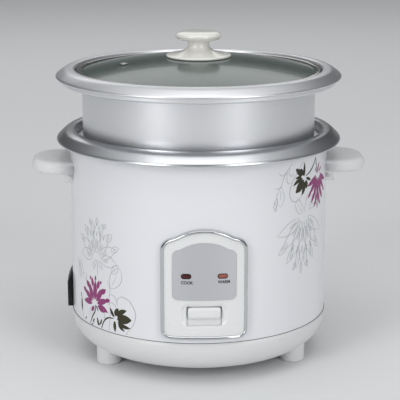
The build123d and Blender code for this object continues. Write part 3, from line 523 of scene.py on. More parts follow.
def piece(
    name: str,
    patches: Sequence[Patch],
    finish: Finish,
    body: str,
    replaces: Sequence[str] = (),
    crease: float = 40.0,
) -> bpy.types.Object:
    """Makes one finished piece from its patches.

    Args:
        patches: closed surfaces in millimetres.
        name, finish, body, replaces, crease: as for finished.

    Returns:
        The object, at the origin.
    """
    starts = np.cumsum([0] + [len(vertices) for vertices, _ in patches[:-1]])
    vertices = np.vstack([vertices for vertices, _ in patches]) * MM
    quads = np.vstack([quads + start for (_, quads), start in zip(patches, starts)])
    mesh = bpy.data.meshes.new(name)
    mesh.from_pydata(vertices.tolist(), [], quads.tolist())
    return finished(name, mesh, finish, body, replaces, crease)


def finished(
    name: str,
    mesh: bpy.types.Mesh,
    finish: Finish,
    body: str,
    replaces: Sequence[str] = (),
    crease: float = 40.0,
) -> bpy.types.Object:
    """Welds, shades and dresses a mesh, and puts it on its body.

    Args:
        name: the piece's name.
        mesh: its mesh, in metres.
        finish: its finish.
        body: the body that it rides on.
        replaces: the frame's parts that it stands for.
        crease: edges sharper than this many degrees stay sharp.

    Returns:
        The object, at the origin.
    """
    weld = bmesh.new()
    weld.from_mesh(mesh)
    bmesh.ops.remove_doubles(weld, verts=weld.verts, dist=1e-6)
    bmesh.ops.dissolve_degenerate(weld, edges=weld.edges, dist=1e-7)
    weld.to_mesh(mesh)
    weld.free()
    mesh.shade_smooth()
    mesh.set_sharp_from_angle(angle=math.radians(crease))
    mesh.materials.clear()
    mesh.materials.append(finish.material())
    shown = bpy.data.objects.new(name, mesh)
    bpy.context.scene.collection.objects.link(shown)
    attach(shown, body)
    if replaces:
        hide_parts(*replaces)
    LOG.info("%s: %d faces, %s", name, len(mesh.polygons), finish.title)
    return shown


def body_of(node: str) -> str:
    """Name of the body that a part of the frame belongs to."""
    bodies = frame["record"]["behaviour"]["bodies"]
    return next(body for body, nodes in bodies.items() if node in nodes)


def slot_of(node: str) -> str:
    """Name of the material slot that a part of the frame belongs to."""
    parts = frame["record"]["subparts"]
    return next(part["material_slot"] for part in parts if part["node"] == node)


def smooth_copy(node: str, finish: Finish | None = None, crease: float = 28.0) -> bpy.types.Object:
    """A shown copy of a frame part with its triangles joined, shaded smooth up to a crease.

    Args:
        node: the part's name.
        finish: its finish, or None for its slot's.
        crease: edges sharper than this many degrees stay sharp.

    Returns:
        The copy, which stands for the part.
    """
    slot = slot_of(node)
    mesh = frame["nodes"][node].data.copy()
    return finished(
        node + "_shown", mesh, finish or SLOT_FINISHES[slot], body_of(node), [node], crease
    )


# ---- Drum, rims and base ----
@dataclass
class PressedRim:
    """A rim pressed from sheet, from its turned-in edge over its crest down to its ledge."""

    radius: float = 140.6
    mouth: float = 121.2
    crest_radius: float = 130.2
    edge: float = 215.7
    rise: float = 11.2
    wall: float = 1.2
    flare: float = 0.3
    drop: float = 0.7
    lean: float = 1.1
    knee: float = 0.22
    dip: float = 0.2
    edge_round: float = 1.3
    knee_round: float = 0.38
    crest_round: float = 13.0
    mouth_round: float = 3.0

    def crown(self) -> tuple[list[tuple[float, float]], list[float]]:
        """Corners and radii of the shown face, from its outer edge to its mouth.

        The knee's height and its radius are shares of the rise.
        """
        top = self.edge + self.rise
        corners = [
            (self.radius + self.flare, self.edge - self.drop),
            (self.radius - self.lean, self.edge + self.knee * self.rise),
            (self.crest_radius, top),
            (self.mouth, top - self.dip),
        ]
        radii = [self.edge_round, self.knee_round * self.rise, self.crest_round, self.mouth_round]
        return corners, radii


@dataclass(frozen=True)
class Window:
    """An opening in the drum's wall: middle and half width in degrees from +X, and two heights."""

    middle: float
    half: float
    low: float
    high: float


@dataclass
class Drum:
    """Painted drum, its silver rim, and the base under it."""

    rim: PressedRim
    radius: float = 127.5
    wall: float = 1.0
    seam: float = 43.5
    top: float = 223.2
    lip_radius: float = 123.2
    pot_ledge: float = 215.9
    ledge_mouth: float = 116.4
    lip: float = 4.0
    bend: float = 2.0
    step: float = 2.0
    rows: int = 19
    # dark strip in the seam: painted shade for the gap's shadow line
    shadow_strip: tuple[float, float] = (126.6, 127.95)
    shadow_strip_heights: tuple[float, float] = (-0.4, 0.5)
    shadow_strip_round: float = 0.3
    switch: Window = Window(-90.0, 8.8, 50.2, 88.6)
    inlet: Window = Window(180.0, 6.1, 48.9, 65.7)

    def build_rim(self) -> None:
        """Silver rim over the drum's mouth."""
        corners, radii = self.rim.crown()
        path = rounded_path(
            [
                (self.rim.radius - self.lip, self.rim.edge - self.rim.drop), *corners,
                (self.rim.mouth, self.pot_ledge), (self.ledge_mouth, self.pot_ledge),
            ],
            [*radii, self.rim.edge_round],
        )
        section = sheet_section(path, self.rim.wall)
        piece("body_rim", [lathe(section)], SATIN_RIM, "cooker_body", ["top_ring"])

    def build_shell(self) -> None:
        """Drum wall: an outer and an inner skin, open at the windows, with its edges closed.

        Grid lines run along the windows' edges. A quad is left out where its middle lies in a
        window, and an edge that then has a quad on one side only gets a face through the wall.
        """
        windows = (self.switch, self.inlet)
        edges = [w.middle + side * w.half for w in windows for side in (-1, 1)]
        even = np.arange(-180, 180, self.step)
        angles = np.unique(np.round(np.concatenate([even, edges]) % 360, 3))
        lines = [value for w in windows for value in (w.low, w.high)]
        even = np.linspace(self.seam, self.top - self.bend, self.rows)
        heights = np.unique(np.concatenate([even, lines]))
        bend = rounded_path(
            [(self.radius, heights[-2]), (self.radius, self.top), (self.lip_radius, self.top)],
            [self.bend],
        )
        straight = np.stack([np.full(len(heights) - 1, self.radius), heights[:-1]], axis=1)
        path = np.vstack([straight, bend[1:]])
        skin = sheet_section(path, self.wall).reshape(2, len(path), 2)
        turn = np.radians(angles)[:, None, None]
        radius, height = np.moveaxis(np.stack([skin[0], skin[1, ::-1]]), -1, 0)[:, None]
        around = [radius * np.cos(turn), radius * np.sin(turn), height + 0 * turn]
        vertices = np.stack(around, axis=-1).transpose(1, 0, 2, 3).reshape(-1, 3)
        rows, columns = len(angles), len(path)
        outer = grid_quads(rows, columns, True, False)
        following = np.append(angles[1:], angles[0] + 360)
        middle = np.repeat((angles + following) / 2, columns - 1)
        level = np.tile((path[:-1, 1] + path[1:, 1]) / 2, rows)
        gap = np.zeros(len(outer), bool)
        for w in windows:
            off = np.abs((middle - w.middle + 180) % 360 - 180)
            gap |= (off < w.half) & (level > w.low) & (level < w.high)
        outer = outer[~gap]
        inner = outer[:, ::-1] + rows * columns
        sides = np.stack([outer, np.roll(outer, -1, axis=1)], axis=-1).reshape(-1, 2)
        keys = {tuple(pair) for pair in sides[:, ::-1].tolist()}
        rims = np.array([pair for pair in sides.tolist() if tuple(pair) not in keys])
        walls = np.stack([rims[:, 1], rims[:, 0], rims[:, 0], rims[:, 1]], axis=1)
        walls[:, 2:] += rows * columns
        shell = outward(vertices, np.vstack([outer, inner, walls]))
        piece("drum_wall", [shell], ENAMEL, "cooker_body", ["outer_shell"])

    def build_seam_shadow(self) -> None:
        """Dark rubber strip in the seam under the drum: painted shade that shows as the seam's thin
        shadow line.
        """
        (inner, outer), (low, high) = self.shadow_strip, (self.seam + z for z in self.shadow_strip_heights)
        section = rounded_path(
            [(inner, low), (outer, low), (outer, high), (inner, high)], [self.shadow_strip_round] * 2
        )
        piece("seam_shadow_strip", [lathe(section)], SEAM_SHADOW_RUBBER, "cooker_body")

    def build(self) -> None:
        """Builds the drum, its rim and its base."""
        self.build_rim()
        self.build_shell()
        self.build_seam_shadow()
        for node in ("base_cover", "feet", "inner_liner"):
            smooth_copy(node)


@dataclass
class Steamer:
    """Steamer tray: perforated floor, drawn wall, and a rim with a rolled bead."""

    rim: PressedRim
    bead: float = 135.2
    bead_root: float = 131.4
    bead_depth: float = 5.8
    bead_gap: float = 0.9
    bead_rounds: tuple[float, float] = (1.9, 1.0)
    wall_rounds: tuple[float, ...] = (1.2, 1.2, 1.1, 1.2, 3.0)
    ledge: float = 277.2
    wall_radius: float = 113.6
    step: float = 218.2
    skirt: float = 109.6
    floor: float = 205.0
    flat: float = 105.0
    hub: float = 12.0
    hole: float = 2.6
    rings: tuple[tuple[float, float, float, int], ...] = (
        # middle, inner edge and outer edge of a ring of holes, and their number
        (24.0, 12.0, 36.0, 8), (48.0, 36.0, 60.0, 16), (72.0, 60.0, 83.0, 24),
        (94.0, 83.0, 105.0, 32),
    )
    segments: int = 192

    def ring_cells(self, middle: float, inner: float, outer: float, count: int) -> Patch:
        """One ring of floor cells, each with a round hole.

        A cell is a square of radius and angle. Its faces run from the square's edge to the hole's
        circle, at equal shares of both outlines.

        Args:
            middle: radius of the holes' middles.
            inner: inner radius of the cells.
            outer: outer radius of the cells.
            count: number of holes.

        Returns:
            The cells' upper and lower faces and the holes' walls.
        """
        side = self.segments // count
        share = np.linspace(-1, 1, side, endpoint=False)
        along = np.concatenate([np.full(side, 1.0), -share, np.full(side, -1.0), share])
        round_ = np.concatenate([share, np.full(side, 1.0), -share, np.full(side, -1.0)])
        place = np.arange(count)[:, None] * 2 * np.pi / count
        turn = place + round_ * np.pi / count
        reach = middle + along * np.where(along > 0, outer - middle, middle - inner)
        cell = np.stack([reach * np.cos(turn), reach * np.sin(turn)], axis=-1)
        heading = place + np.arctan2(round_, along)
        centre = np.stack([np.cos(place), np.sin(place)], axis=-1) * middle
        hole = centre + self.hole * np.stack([np.cos(heading), np.sin(heading)], axis=-1)
        top, low = self.floor + self.rim.wall, self.floor
        flat = np.stack([cell, hole, hole, cell], axis=2)
        height = np.broadcast_to([top, top, low, low], flat.shape[:-1])
        vertices = np.concatenate([flat, height[..., None]], axis=-1).reshape(-1, 3)
        rows, columns = flat.shape[1:3]
        quads = grid_quads(rows, columns, True, False)
        starts = np.arange(count)[:, None, None] * rows * columns
        return vertices, (quads[None] + starts).reshape(-1, 4)

    def build(self) -> None:
        """Builds the tray as one closed skin."""
        corners, radii = self.rim.crown()
        low, top = self.rim.edge - self.bead_depth, self.floor + self.rim.wall
        path = rounded_path(
            [
                (self.bead_root, low), (self.bead, low), (self.bead, self.rim.edge - self.bead_gap),
                *corners, (self.rim.mouth, self.ledge), (self.wall_radius, self.ledge),
                (self.wall_radius, self.step), (self.skirt, self.step), (self.skirt, top),
                (self.flat, top),
            ],
            [*self.bead_rounds, *radii, *self.wall_rounds],
        )
        section = sheet_section(path, self.rim.wall)
        sheet = turned(np.roll(section, len(path), axis=0), False, self.segments)
        hub = turned(np.array([(0, self.floor), (self.hub, self.floor)]), False, self.segments)
        cap = turned(np.array([(self.hub, top), (0, top)]), False, self.segments)
        cells = [self.ring_cells(*ring) for ring in self.rings]
        piece(
            "steamer_shell", [sheet, hub, cap, *cells], DRAWN_WALL, "steamer_tray",
            ["steamer_tray"],
        )


@dataclass
class Lid:
    """Glass lid with its band, vent and knob."""

    nodes: tuple[str, ...] = ("lid_glass", "lid_band", "steam_vent", "lid_knob")

    def build(self) -> None:
        """Builds the lid."""
        for node in self.nodes:
            smooth_copy(node)


# ---- Control panel ----
def arc_through(
    start: tuple[float, float], middle: tuple[float, float], end: tuple[float, float], count: int = 24
) -> np.ndarray:
    """Points of the circle's arc through three points, without its end.

    The centre solves 2 (middle - start) . c = |middle|^2 - |start|^2, and the same for the end.

    Args:
        start: first point.
        middle: a point between.
        end: last point.
        count: number of points.

    Returns:
        The arc's points, one to a row.
    """
    a, m, b = (np.array(p, float) for p in (start, middle, end))
    centre = np.linalg.solve(2 * np.stack([m - a, b - a]), [m @ m - a @ a, b @ b - a @ a])
    angles = np.unwrap([math.atan2(*(p - centre)[::-1]) for p in (a, m, b)])
    sweep = np.linspace(angles[0], angles[2], count, endpoint=False)
    return centre + np.linalg.norm(a - centre) * np.stack([np.cos(sweep), np.sin(sweep)], axis=1)


@dataclass
class ControlPanel:
    """White panel with its chrome trim, silver plate, lamp windows, words and switch paddle."""

    half_width: float = 41.0
    low: float = 48.0
    shoulder: float = 132.0
    neck: tuple[float, float] = (28.5, 146.4)
    crown: float = 154.8
    corner: float = 9.0
    trim_width: float = 3.9
    skin: float = 127.6
    skin_gap: float = 0.05
    trim_face: float = 132.2
    plate_face: float = 130.9
    lamp_x: float = 17.0
    lamp_z: float = 110.2
    lamp_length: float = 8.8
    lamp_height: float = 4.0
    lens_sink: float = 0.3
    lens_dome: float = 0.7
    lens_back: float = 125.0
    lens_rim: float = 0.45
    lens_rim_rise: float = 0.5
    rim_gap: float = 0.1
    shoulder_in: float = 0.3
    shoulder_up: float = 0.72
    trim_foot: float = 0.4
    trim_power: float = 0.8
    words: tuple[tuple[str, float, float, float], ...] = (
        # word, x of its middle, height of its foot, width
        ("COOK", -16.1, 102.6, 11.3), ("WARM", 18.0, 103.2, 11.5),
    )
    word_weight: float = 0.035
    word_film: float = 0.12
    word_stretch: float = 1.08
    face: float = 130.3
    face_inset: float = 1.2
    slot_middle: float = 70.9
    slot_half_width: float = 16.6
    slot_half_height: float = 9.5
    slot_round: float = 1.5
    slot_ease: float = 0.25
    dish_middle: float = 72.4
    dish_half_width: float = 22.0
    dish_low: float = 11.4
    dish_high: float = 11.6
    dish_sag: float = 1.6
    dish_edge: float = 0.12
    dish_depth: float = 1.5
    bar_middle: tuple[float, float] = (-127.4, 74.2)
    bar_half: tuple[float, float, float] = (15.4, 4.6, 5.5)
    bar_powers: tuple[float, float] = (0.28, 0.62)
    apron_half_width: float = 17.4
    apron_heights: tuple[float, float] = (57.2, 86.8)
    apron_lean: tuple[tuple[float, float], ...] = ((62.0, 80.0), (127.1, 125.0))
    apron_wall: float = 1.3

    def outline(self) -> np.ndarray:
        """Panel outline: straight sides, round shoulders, and an arched crown."""
        neck_x, neck_z = self.neck
        middle_x = self.half_width - self.shoulder_in * (self.half_width - neck_x)
        middle_z = self.shoulder + self.shoulder_up * (neck_z - self.shoulder)
        side = arc_through((self.half_width, self.shoulder), (middle_x, middle_z), self.neck)
        top = arc_through(self.neck, (0.0, self.crown), (-neck_x, neck_z))
        half = rounded_path(
            [(0, self.low), (self.half_width, self.low), (self.half_width, self.shoulder)],
            [self.corner],
        )[:-1]
        other = np.vstack([half, side])[::-1] * (-1, 1)
        return np.vstack([half, side, top, other[:-1]])

    def dish(self, x: np.ndarray, z: np.ndarray) -> np.ndarray:
        """Depth of the soft dish round the switch.

        With e = (|x / a|^4 + |z' / b|^4)^(1/4), the dish is deepest inside e = 1 less its edge, and
        fades to nothing at e = 1 along 3 t^2 - 2 t^3. Below the middle, b sags by 1 - (x / a)^2.

        Args:
            x: across the panel.
            z: heights.

        Returns:
            The depth at each place.
        """
        sag = self.dish_sag * (1 - (x / self.dish_half_width) ** 2)
        rise = z - self.dish_middle
        level = rise / np.where(rise < 0, self.dish_low + sag, self.dish_high)
        reach = (np.abs(x / self.dish_half_width) ** 4 + np.abs(level) ** 4) ** 0.25
        share = np.clip((1.0 - reach) / self.dish_edge, 0, 1)
        return self.dish_depth * (3 * share**2 - 2 * share**3)

    def spokes(self, loop: np.ndarray, angle: np.ndarray) -> np.ndarray:
        """Distance of a loop from the slot's middle in each direction.

        Args:
            loop: (x, z) points.
            angle: directions in radians.

        Returns:
            One distance for each direction.
        """
        spoke = loop - (0.0, self.slot_middle)
        heading = np.arctan2(spoke[:, 1], spoke[:, 0])
        return np.interp(angle, heading, np.linalg.norm(spoke, axis=1), period=2 * np.pi)

    def build_housing(self) -> None:
        """White moulding: rings drawn from the switch's slot out to the trim, with a dished face.

        Ring v has the points slot + v (outline - slot) at each direction from the slot's middle.
        """
        low, high = (self.slot_middle + side * self.slot_half_height for side in (-1, 1))
        half = self.slot_half_width
        corners = [(0, low), (half, low), (half, high), (-half, high), (-half, low), (0, low)]
        slot = rounded_path(corners, [self.slot_round] * 4)[:-1]
        angle = np.linspace(-np.pi, np.pi, 288, endpoint=False)
        inner = self.spokes(even_loop(slot, 600), angle)
        outer = self.spokes(even_loop(self.outline(), 600), angle) - self.face_inset
        share = np.concatenate([np.linspace(0, 0.5, 15), np.linspace(0.5, 1, 8)[1:]])
        spoke = inner[:, None] + share * (outer - inner)[:, None]
        ray = np.stack([np.cos(angle), np.sin(angle)], axis=1)
        flat = (0.0, self.slot_middle) + ray[:, None] * spoke[..., None]
        front = self.face - self.dish(flat[..., 0], flat[..., 1])
        front[:, 0] -= self.slot_ease
        flat = np.concatenate([flat, flat[:, ::-1]], axis=1)
        radius = np.concatenate([front, np.full(front.shape, self.skin + self.skin_gap)], axis=1)
        points = on_drum(flat[..., 0], flat[..., 1], radius).reshape(-1, 3)
        moulding = outward(points, grid_quads(len(angle), 2 * len(share), True, True))
        piece(
            "panel_moulding", [moulding], WHITE_ABS, "cooker_body",
            ["panel_housing"], 50.0,
        )

    def build_paddle(self) -> None:
        """Switch paddle: a soft bar, and an apron that closes the slot behind it.

        The bar is x = a s(sin p), y = b s(cos p) s(cos q), z = c s(cos p) s(sin q), where s keeps a
        value's sign and raises its size to a power below one. The apron leans in towards its top.
        """

        def soft(value: np.ndarray, power: float) -> np.ndarray:
            """The value's sign times its size to a power."""
            return np.sign(value) * np.abs(value) ** power

        p = np.linspace(-np.pi / 2, np.pi / 2, 41)[:, None]
        q = np.linspace(0, 2 * np.pi, 64, endpoint=False)[None]
        (middle_y, middle_z), (end, side) = self.bar_middle, self.bar_powers
        half_x, half_y, half_z = self.bar_half
        girth = soft(np.cos(p), end)
        bar = [
            half_x * soft(np.sin(p), end),
            middle_y + half_y * girth * soft(np.cos(q), side),
            middle_z + half_z * girth * soft(np.sin(q), side),
        ]
        points = np.stack(np.broadcast_arrays(*bar), axis=-1)
        nose = outward(points.reshape(-1, 3), grid_quads(*points.shape[:2], False, True))
        x = np.linspace(-self.apron_half_width, self.apron_half_width, 15)[:, None]
        rise = np.linspace(*self.apron_heights, 12)
        z = np.concatenate([rise, rise[::-1]])[None]
        reach = np.interp(z, *self.apron_lean)
        reach[:, len(rise) :] -= self.apron_wall
        apron = outward(on_drum(x, z, reach).reshape(-1, 3), sheet_quads(len(x), len(rise)))
        piece(
            "switch_paddle", [nose, apron], WHITE_ABS, "cook_lever",
            ["cook_paddle"], 50.0,
        )

    def build_trim(self) -> None:
        """Chrome trim: a half-round bead on the outline, a little flatter on top."""
        turn = np.linspace(0, np.pi, 19)
        half = self.trim_width / 2
        foot = self.skin + self.trim_foot
        rise = (self.trim_face - foot) * np.sin(turn) ** self.trim_power
        arch = np.stack([-half * np.cos(turn), foot + rise], axis=1)
        section = np.vstack([[(-half, self.skin)], arch, [(half, self.skin)]])
        loop = even_loop(self.outline(), 420, soften=6)
        piece(
            "chrome_bead", [bead(loop, section, half)], CHROME, "cooker_body",
            ["panel_trim"], 60.0,
        )

    def stadium(self, middle_x: float, grow: float, count: int = 64) -> np.ndarray:
        """Loop of a slot with round ends, about a lamp.

        Args:
            middle_x: the lamp's x.
            grow: distance outside the lamp's own edge.
            count: number of points.

        Returns:
            (x, z) points.
        """
        radius = self.lamp_height / 2 + grow
        straight = (self.lamp_length - self.lamp_height) / 2
        angle = np.linspace(0, 2 * np.pi, count, endpoint=False)
        x = radius * np.cos(angle) + straight * np.sign(np.cos(angle))
        return np.stack([middle_x + x, self.lamp_z + radius * np.sin(angle)], axis=1)

    def build_lamp(self, name: str, middle_x: float, lens: Finish, rim: Finish) -> None:
        """A lamp window with a domed face and a dark rim of painted shade round its edge.

        The face is rings of the slot's outline shrunk towards its middle line by rho, with its
        height falling as sqrt(1 - rho^2).

        Args:
            name: "cook" or "warm".
            middle_x: the window's x.
            lens: finish of the window.
            rim: finish of the rim, a darker copy of the window's colour painted as shade.
        """
        outer = self.stadium(middle_x, 0.0)
        straight = (self.lamp_length - self.lamp_height) / 2
        spine = np.clip(outer[:, 0], middle_x - straight, middle_x + straight)
        spine = np.stack([spine, np.full(len(outer), self.lamp_z)], axis=1)
        rho = np.sin(np.linspace(0, np.pi / 2, 9))
        rings = spine + rho[:, None, None] * (outer - spine)
        face = self.plate_face - self.lens_sink + self.lens_dome * np.sqrt(1 - rho**2)
        rings = np.concatenate([rings, rings[::-1]])
        height = np.concatenate([face, np.full(len(rho), self.lens_back)])[:, None]
        points = on_drum(rings[..., 0], rings[..., 1], height).reshape(-1, 3)
        window = outward(points, grid_quads(len(rings), len(outer), False, True))
        piece(f"{name}_window", [window], lens, "cooker_body", [f"{name}_lens"])
        # the dark rim is painted shade round the window's edge
        turn = np.linspace(0, np.pi, 9)
        half, foot = self.lens_rim, self.plate_face - 2 * self.rim_gap
        crest = self.plate_face + self.rim_gap + self.lens_rim_rise * np.sin(turn)
        section = np.vstack([np.stack([half * np.cos(turn), crest], 1), [(-half, foot), (half, foot)]])
        edge = even_loop(self.stadium(middle_x, self.rim_gap), 96)
        piece(f"{name}_window_rim", [bead(edge, section)], rim, "cooker_body")

    def build_word(self, word: str, middle_x: float, base_z: float, width: float) -> None:
        """A printed word on the silver plate.

        Args:
            word: the word.
            middle_x: x of its middle.
            base_z: height of its foot.
            width: its width.
        """
        curve = bpy.data.curves.new(word, "FONT")
        curve.body, curve.align_x = word, "CENTER"
        curve.offset, curve.extrude, curve.resolution_u = self.word_weight, 0.5, 4
        writer = bpy.data.objects.new(word, curve)
        bpy.context.scene.collection.objects.link(writer)
        mesh = bpy.data.meshes.new_from_object(writer)
        bpy.data.objects.remove(writer)
        places = np.empty(len(mesh.vertices) * 3)
        mesh.vertices.foreach_get("co", places)
        across, up, depth = places.reshape(-1, 3).T
        scale = width / np.ptp(across)
        x = middle_x + (across - (across.max() + across.min()) / 2) * scale
        radius = self.plate_face + self.word_film * (depth + 0.5)
        points = on_drum(x, base_z + (up - up.min()) * scale * self.word_stretch, radius) * MM
        mesh.vertices.foreach_set("co", points.astype(np.float32).ravel())
        finished(f"word_{word.lower()}", mesh, BLACK_INK, "cooker_body")

    def build(self) -> None:
        """Builds the panel."""
        self.build_housing()
        smooth_copy("panel_plate")
        self.build_paddle()
        self.build_trim()
        self.build_lamp("cook", -self.lamp_x, RED_LENS, RED_WINDOW_SHADE_RIM)
        self.build_lamp("warm", self.lamp_x, AMBER_LENS, AMBER_WINDOW_SHADE_RIM)
        for word, middle_x, base_z, width in self.words:
            self.build_word(word, middle_x, base_z, width)


# ---- Printed flowers ----
@dataclass
class Petal:
    """One petal or leaf on the drum: it starts at a place, heads one way, and curls.

    Its middle line turns by curl degrees over its length and keeps its heading at the hinge's share
    of it. Its half width at share t is width / 2 times t^fore (1 - t)^aft over that product's
    largest value, and never less than its point's.
    """

    start: tuple[float, float]
    heading: float
    length: float
    width: float
    curl: float = 0.0
    fore: float = 0.9
    aft: float = 1.1
    hinge: float = 0.25
    point: float = 0.04

    def edges(self, count: int = 22) -> tuple[np.ndarray, np.ndarray, np.ndarray]:
        """Left edge, middle line and right edge, as (arc, height) points."""
        share = np.linspace(0.0, 1.0, count)
        turn = np.radians(self.heading + self.curl * (share - self.hinge))
        steps = np.stack([np.sin(turn), np.cos(turn)], axis=1) * self.length / (count - 1)
        middle = np.array(self.start) + np.cumsum(steps, axis=0) - steps[:1]
        side = np.stack([-np.cos(turn), np.sin(turn)], axis=1)
        peak = self.fore / (self.fore + self.aft)
        top = peak**self.fore * (1 - peak) ** self.aft
        half = self.width / 2 * share**self.fore * (1 - share) ** self.aft / top
        half = np.maximum(half, self.point)[:, None]
        return middle + side * half, middle, middle - side * half


class Ink(Enum):
    """The three inks of the print."""

    MAGENTA = "magenta"
    OLIVE = "olive"
    GREY = "grey"


@dataclass
class FlowerPrint:
    """Lotus flowers, buds, leaves and stems printed round the drum, as thin films of ink."""

    drum: float = 127.5
    film: float = 0.07
    line: float = 0.5
    thin: float = 0.45
    vein_fan: float = 0.45
    vein_line: float = 0.7
    shorten: float = 0.22
    swing: float = 10.0
    curl: float = 34.0
    usual_spread: float = 95.0
    stamen_fan: float = 24.0
    stamen: tuple[float, float, float] = (0.56, 0.16, 0.022)

    def __post_init__(self) -> None:
        """Starts an empty film for each ink."""
        self.films: dict[Ink, list[Patch]] = {ink: [] for ink in Ink}

    def ribbon(self, ink: Ink, left: np.ndarray, right: np.ndarray, across: int = 2) -> None:
        """Adds a closed film between two edges.

        Row i has points left_i + u (right_i - left_i) on the film's face, and the same points on
        its back, and both ends are closed.

        Args:
            ink: its ink.
            left: (arc, height) points of one edge.
            right: the same for the other edge.
            across: number of points across.
        """
        share = np.linspace(0, 1, across)[None, :, None]
        skin = left[:, None] * (1 - share) + right[:, None] * share
        loop = np.concatenate([skin, skin[:, ::-1]], axis=1)
        radius = self.drum + np.repeat([self.film, 0.0], across)[None, :]
        points = wrapped(loop[..., 0], loop[..., 1], radius, self.drum).reshape(-1, 3)
        self.films[ink].append(outward(points, sheet_quads(len(left), across)))

    def stroke(self, ink: Ink, path: np.ndarray, width: float) -> None:
        """Adds a line along a path, thinner towards its ends.

        Args:
            ink: its ink.
            path: (arc, height) points.
            width: its width in the middle.
        """
        along = unit(np.gradient(path, axis=0))
        side = np.stack([-along[:, 1], along[:, 0]], axis=1)
        share = np.linspace(0, 1, len(path))
        half = width / 2 * (self.thin + (1 - self.thin) * np.sin(np.pi * share))
        self.ribbon(ink, path + side * half[:, None], path - side * half[:, None])

    def curve(self, ink: Ink, corners: Sequence[tuple[float, float]], width: float) -> None:
        """Adds a line along the smooth curve through some places.

        The curve is the Catmull-Rom spline, whose point between b and c at share t is
        b + t (c - a) / 2 + t^2 (a - 2.5 b + 2 c - d / 2) + t^3 (-a + 3 b - 3 c + d) / 2.

        Args:
            ink: its ink.
            corners: (arc, height) places.
            width: its width in the middle.
        """
        knots = np.array([corners[0], *corners, corners[-1]], float)
        a, b, c, d = (knots[i : len(knots) - 3 + i, None] for i in range(4))
        t = np.linspace(0, 1, 9)[None, :-1, None]
        spline = (
            b + t * (c - a) / 2 + t**2 * (a - 2.5 * b + 2 * c - d / 2)
            + t**3 * (-a + 3 * b - 3 * c + d) / 2
        )
        self.stroke(ink, np.vstack([spline.reshape(-1, 2), knots[-1:]]), width)

    def filled(self, ink: Ink, petal: Petal) -> None:
        """Adds a petal filled with ink."""
        left, _, right = petal.edges()
        self.ribbon(ink, left, right, 6)

    def outlined(self, ink: Ink, petal: Petal, veins: int = 1) -> None:
        """Adds a petal's outline, and its veins.

        Args:
            ink: its ink.
            petal: the petal.
            veins: number of lines inside.
        """
        left, middle, right = petal.edges()
        self.stroke(ink, left, self.line)
        self.stroke(ink, right, self.line)
        for share in np.linspace(-self.vein_fan, self.vein_fan, veins + 2)[1:-1]:
            vein = middle + (right - middle) * share
            self.stroke(ink, vein[3 : 17 - 2 * veins], self.vein_line * self.line)

    def build(self) -> None:
        """Draws both groups and makes one piece for each ink."""
        self.left_group()
        self.right_group()
        finishes = {Ink.MAGENTA: MAGENTA_INK, Ink.OLIVE: OLIVE_INK, Ink.GREY: GREY_INK}
        for ink, patches in self.films.items():
            piece(f"print_{ink.value}", patches, finishes[ink], "cooker_body")

    @staticmethod
    def off(base: tuple[float, float], heading: float, reach: float) -> tuple[float, float]:
        """The place that lies a distance from another, clockwise from upright by the heading."""
        turn = math.radians(heading)
        return base[0] + reach * math.sin(turn), base[1] + reach * math.cos(turn)

    def lotus(
        self, base: tuple[float, float], tilt: float, size: float, ink: Ink, spread: float = 100.0
    ) -> None:
        """Adds an open lotus: a fan of front petals, tips of the back petals, and its heart.

        Petal k of n points tilt + spread (2 k / (n - 1) - 1) degrees from upright, and curls
        outwards by the same share. Back petals start further out, and the stamens' first distance,
        length and width are shares of the size.

        Args:
            base: (arc, height) of the petals' foot.
            tilt: degrees that the flower leans clockwise.
            size: length of the longest petals.
            ink: MAGENTA fills the petals, and GREY draws their outlines.
            spread: degrees from the middle petal to the outermost.
        """
        solid = ink is Ink.MAGENTA
        rows = (
            # petals, first distance from the foot, length, width, spread
            (7, 0.16, 0.74, 0.21 if solid else 0.3, 1.0),
            (6, 0.62, 0.36, 0.15, 0.66),
            (3, 0.86, 0.2, 0.09, 0.2),
        )
        for count, first, length, width, reach in rows:
            for share in np.linspace(-1, 1, count):
                heading = tilt + spread * reach * share
                shorter = 1.0 - self.shorten * abs(share)
                petal = Petal(
                    self.off(base, heading, first * size), heading - self.swing * share,
                    length * size * shorter, width * size * spread / self.usual_spread,
                    self.curl * share,
                )
                if solid:
                    self.filled(ink, petal)
                else:
                    self.outlined(ink, petal, 3 if first < 0.5 else 1)
        first, length, width = (size * part for part in self.stamen)
        for share in np.linspace(-1, 1, 5):
            heading = tilt + self.stamen_fan * share
            self.filled(ink, Petal(self.off(base, heading, first), heading, length, width))

    def bud(self, base: tuple[float, float], tilt: float, size: float) -> None:
        """Adds a closed olive bud with its sepals, each a leaf about the bud's foot.

        Args:
            base: (arc, height) of its foot.
            tilt: degrees that it leans clockwise.
            size: its length.
        """
        leaves = (
            # heading from the bud's own, distance, length, width, curl
            (4, 0.14, 0.86, 0.46, 8), (-34, 0.2, 0.72, 0.26, 44), (40, 0.2, 0.8, 0.2, -46),
            (-62, 0.16, 0.46, 0.26, 30), (58, 0.3, 0.5, 0.14, -36), (-112, 0.1, 0.5, 0.16, 10),
            (104, 0.1, 0.56, 0.18, -14),
        )
        for lean, first, length, width, curl in leaves:
            start = self.off(base, tilt + lean, first * size)
            self.filled(
                Ink.OLIVE, Petal(start, tilt + lean, length * size, width * size, curl, 0.75, 0.9)
            )

    def draw(self, curves: Sequence[tuple], outlines: Sequence[tuple], leaves: Sequence[tuple]) -> None:
        """Adds a group's grey lines, grey petals and olive petals.

        Args:
            curves: width over the usual line's, and the line's places.
            outlines: number of veins, and a petal's numbers in the order of its fields.
            leaves: a petal's numbers, in the order of its fields.
        """
        for width, *path in curves:
            self.curve(Ink.GREY, path, width * self.line)
        for veins, *sizes in outlines:
            self.outlined(Ink.GREY, Petal(*sizes), veins)
        for sizes in leaves:
            self.filled(Ink.OLIVE, Petal(*sizes))

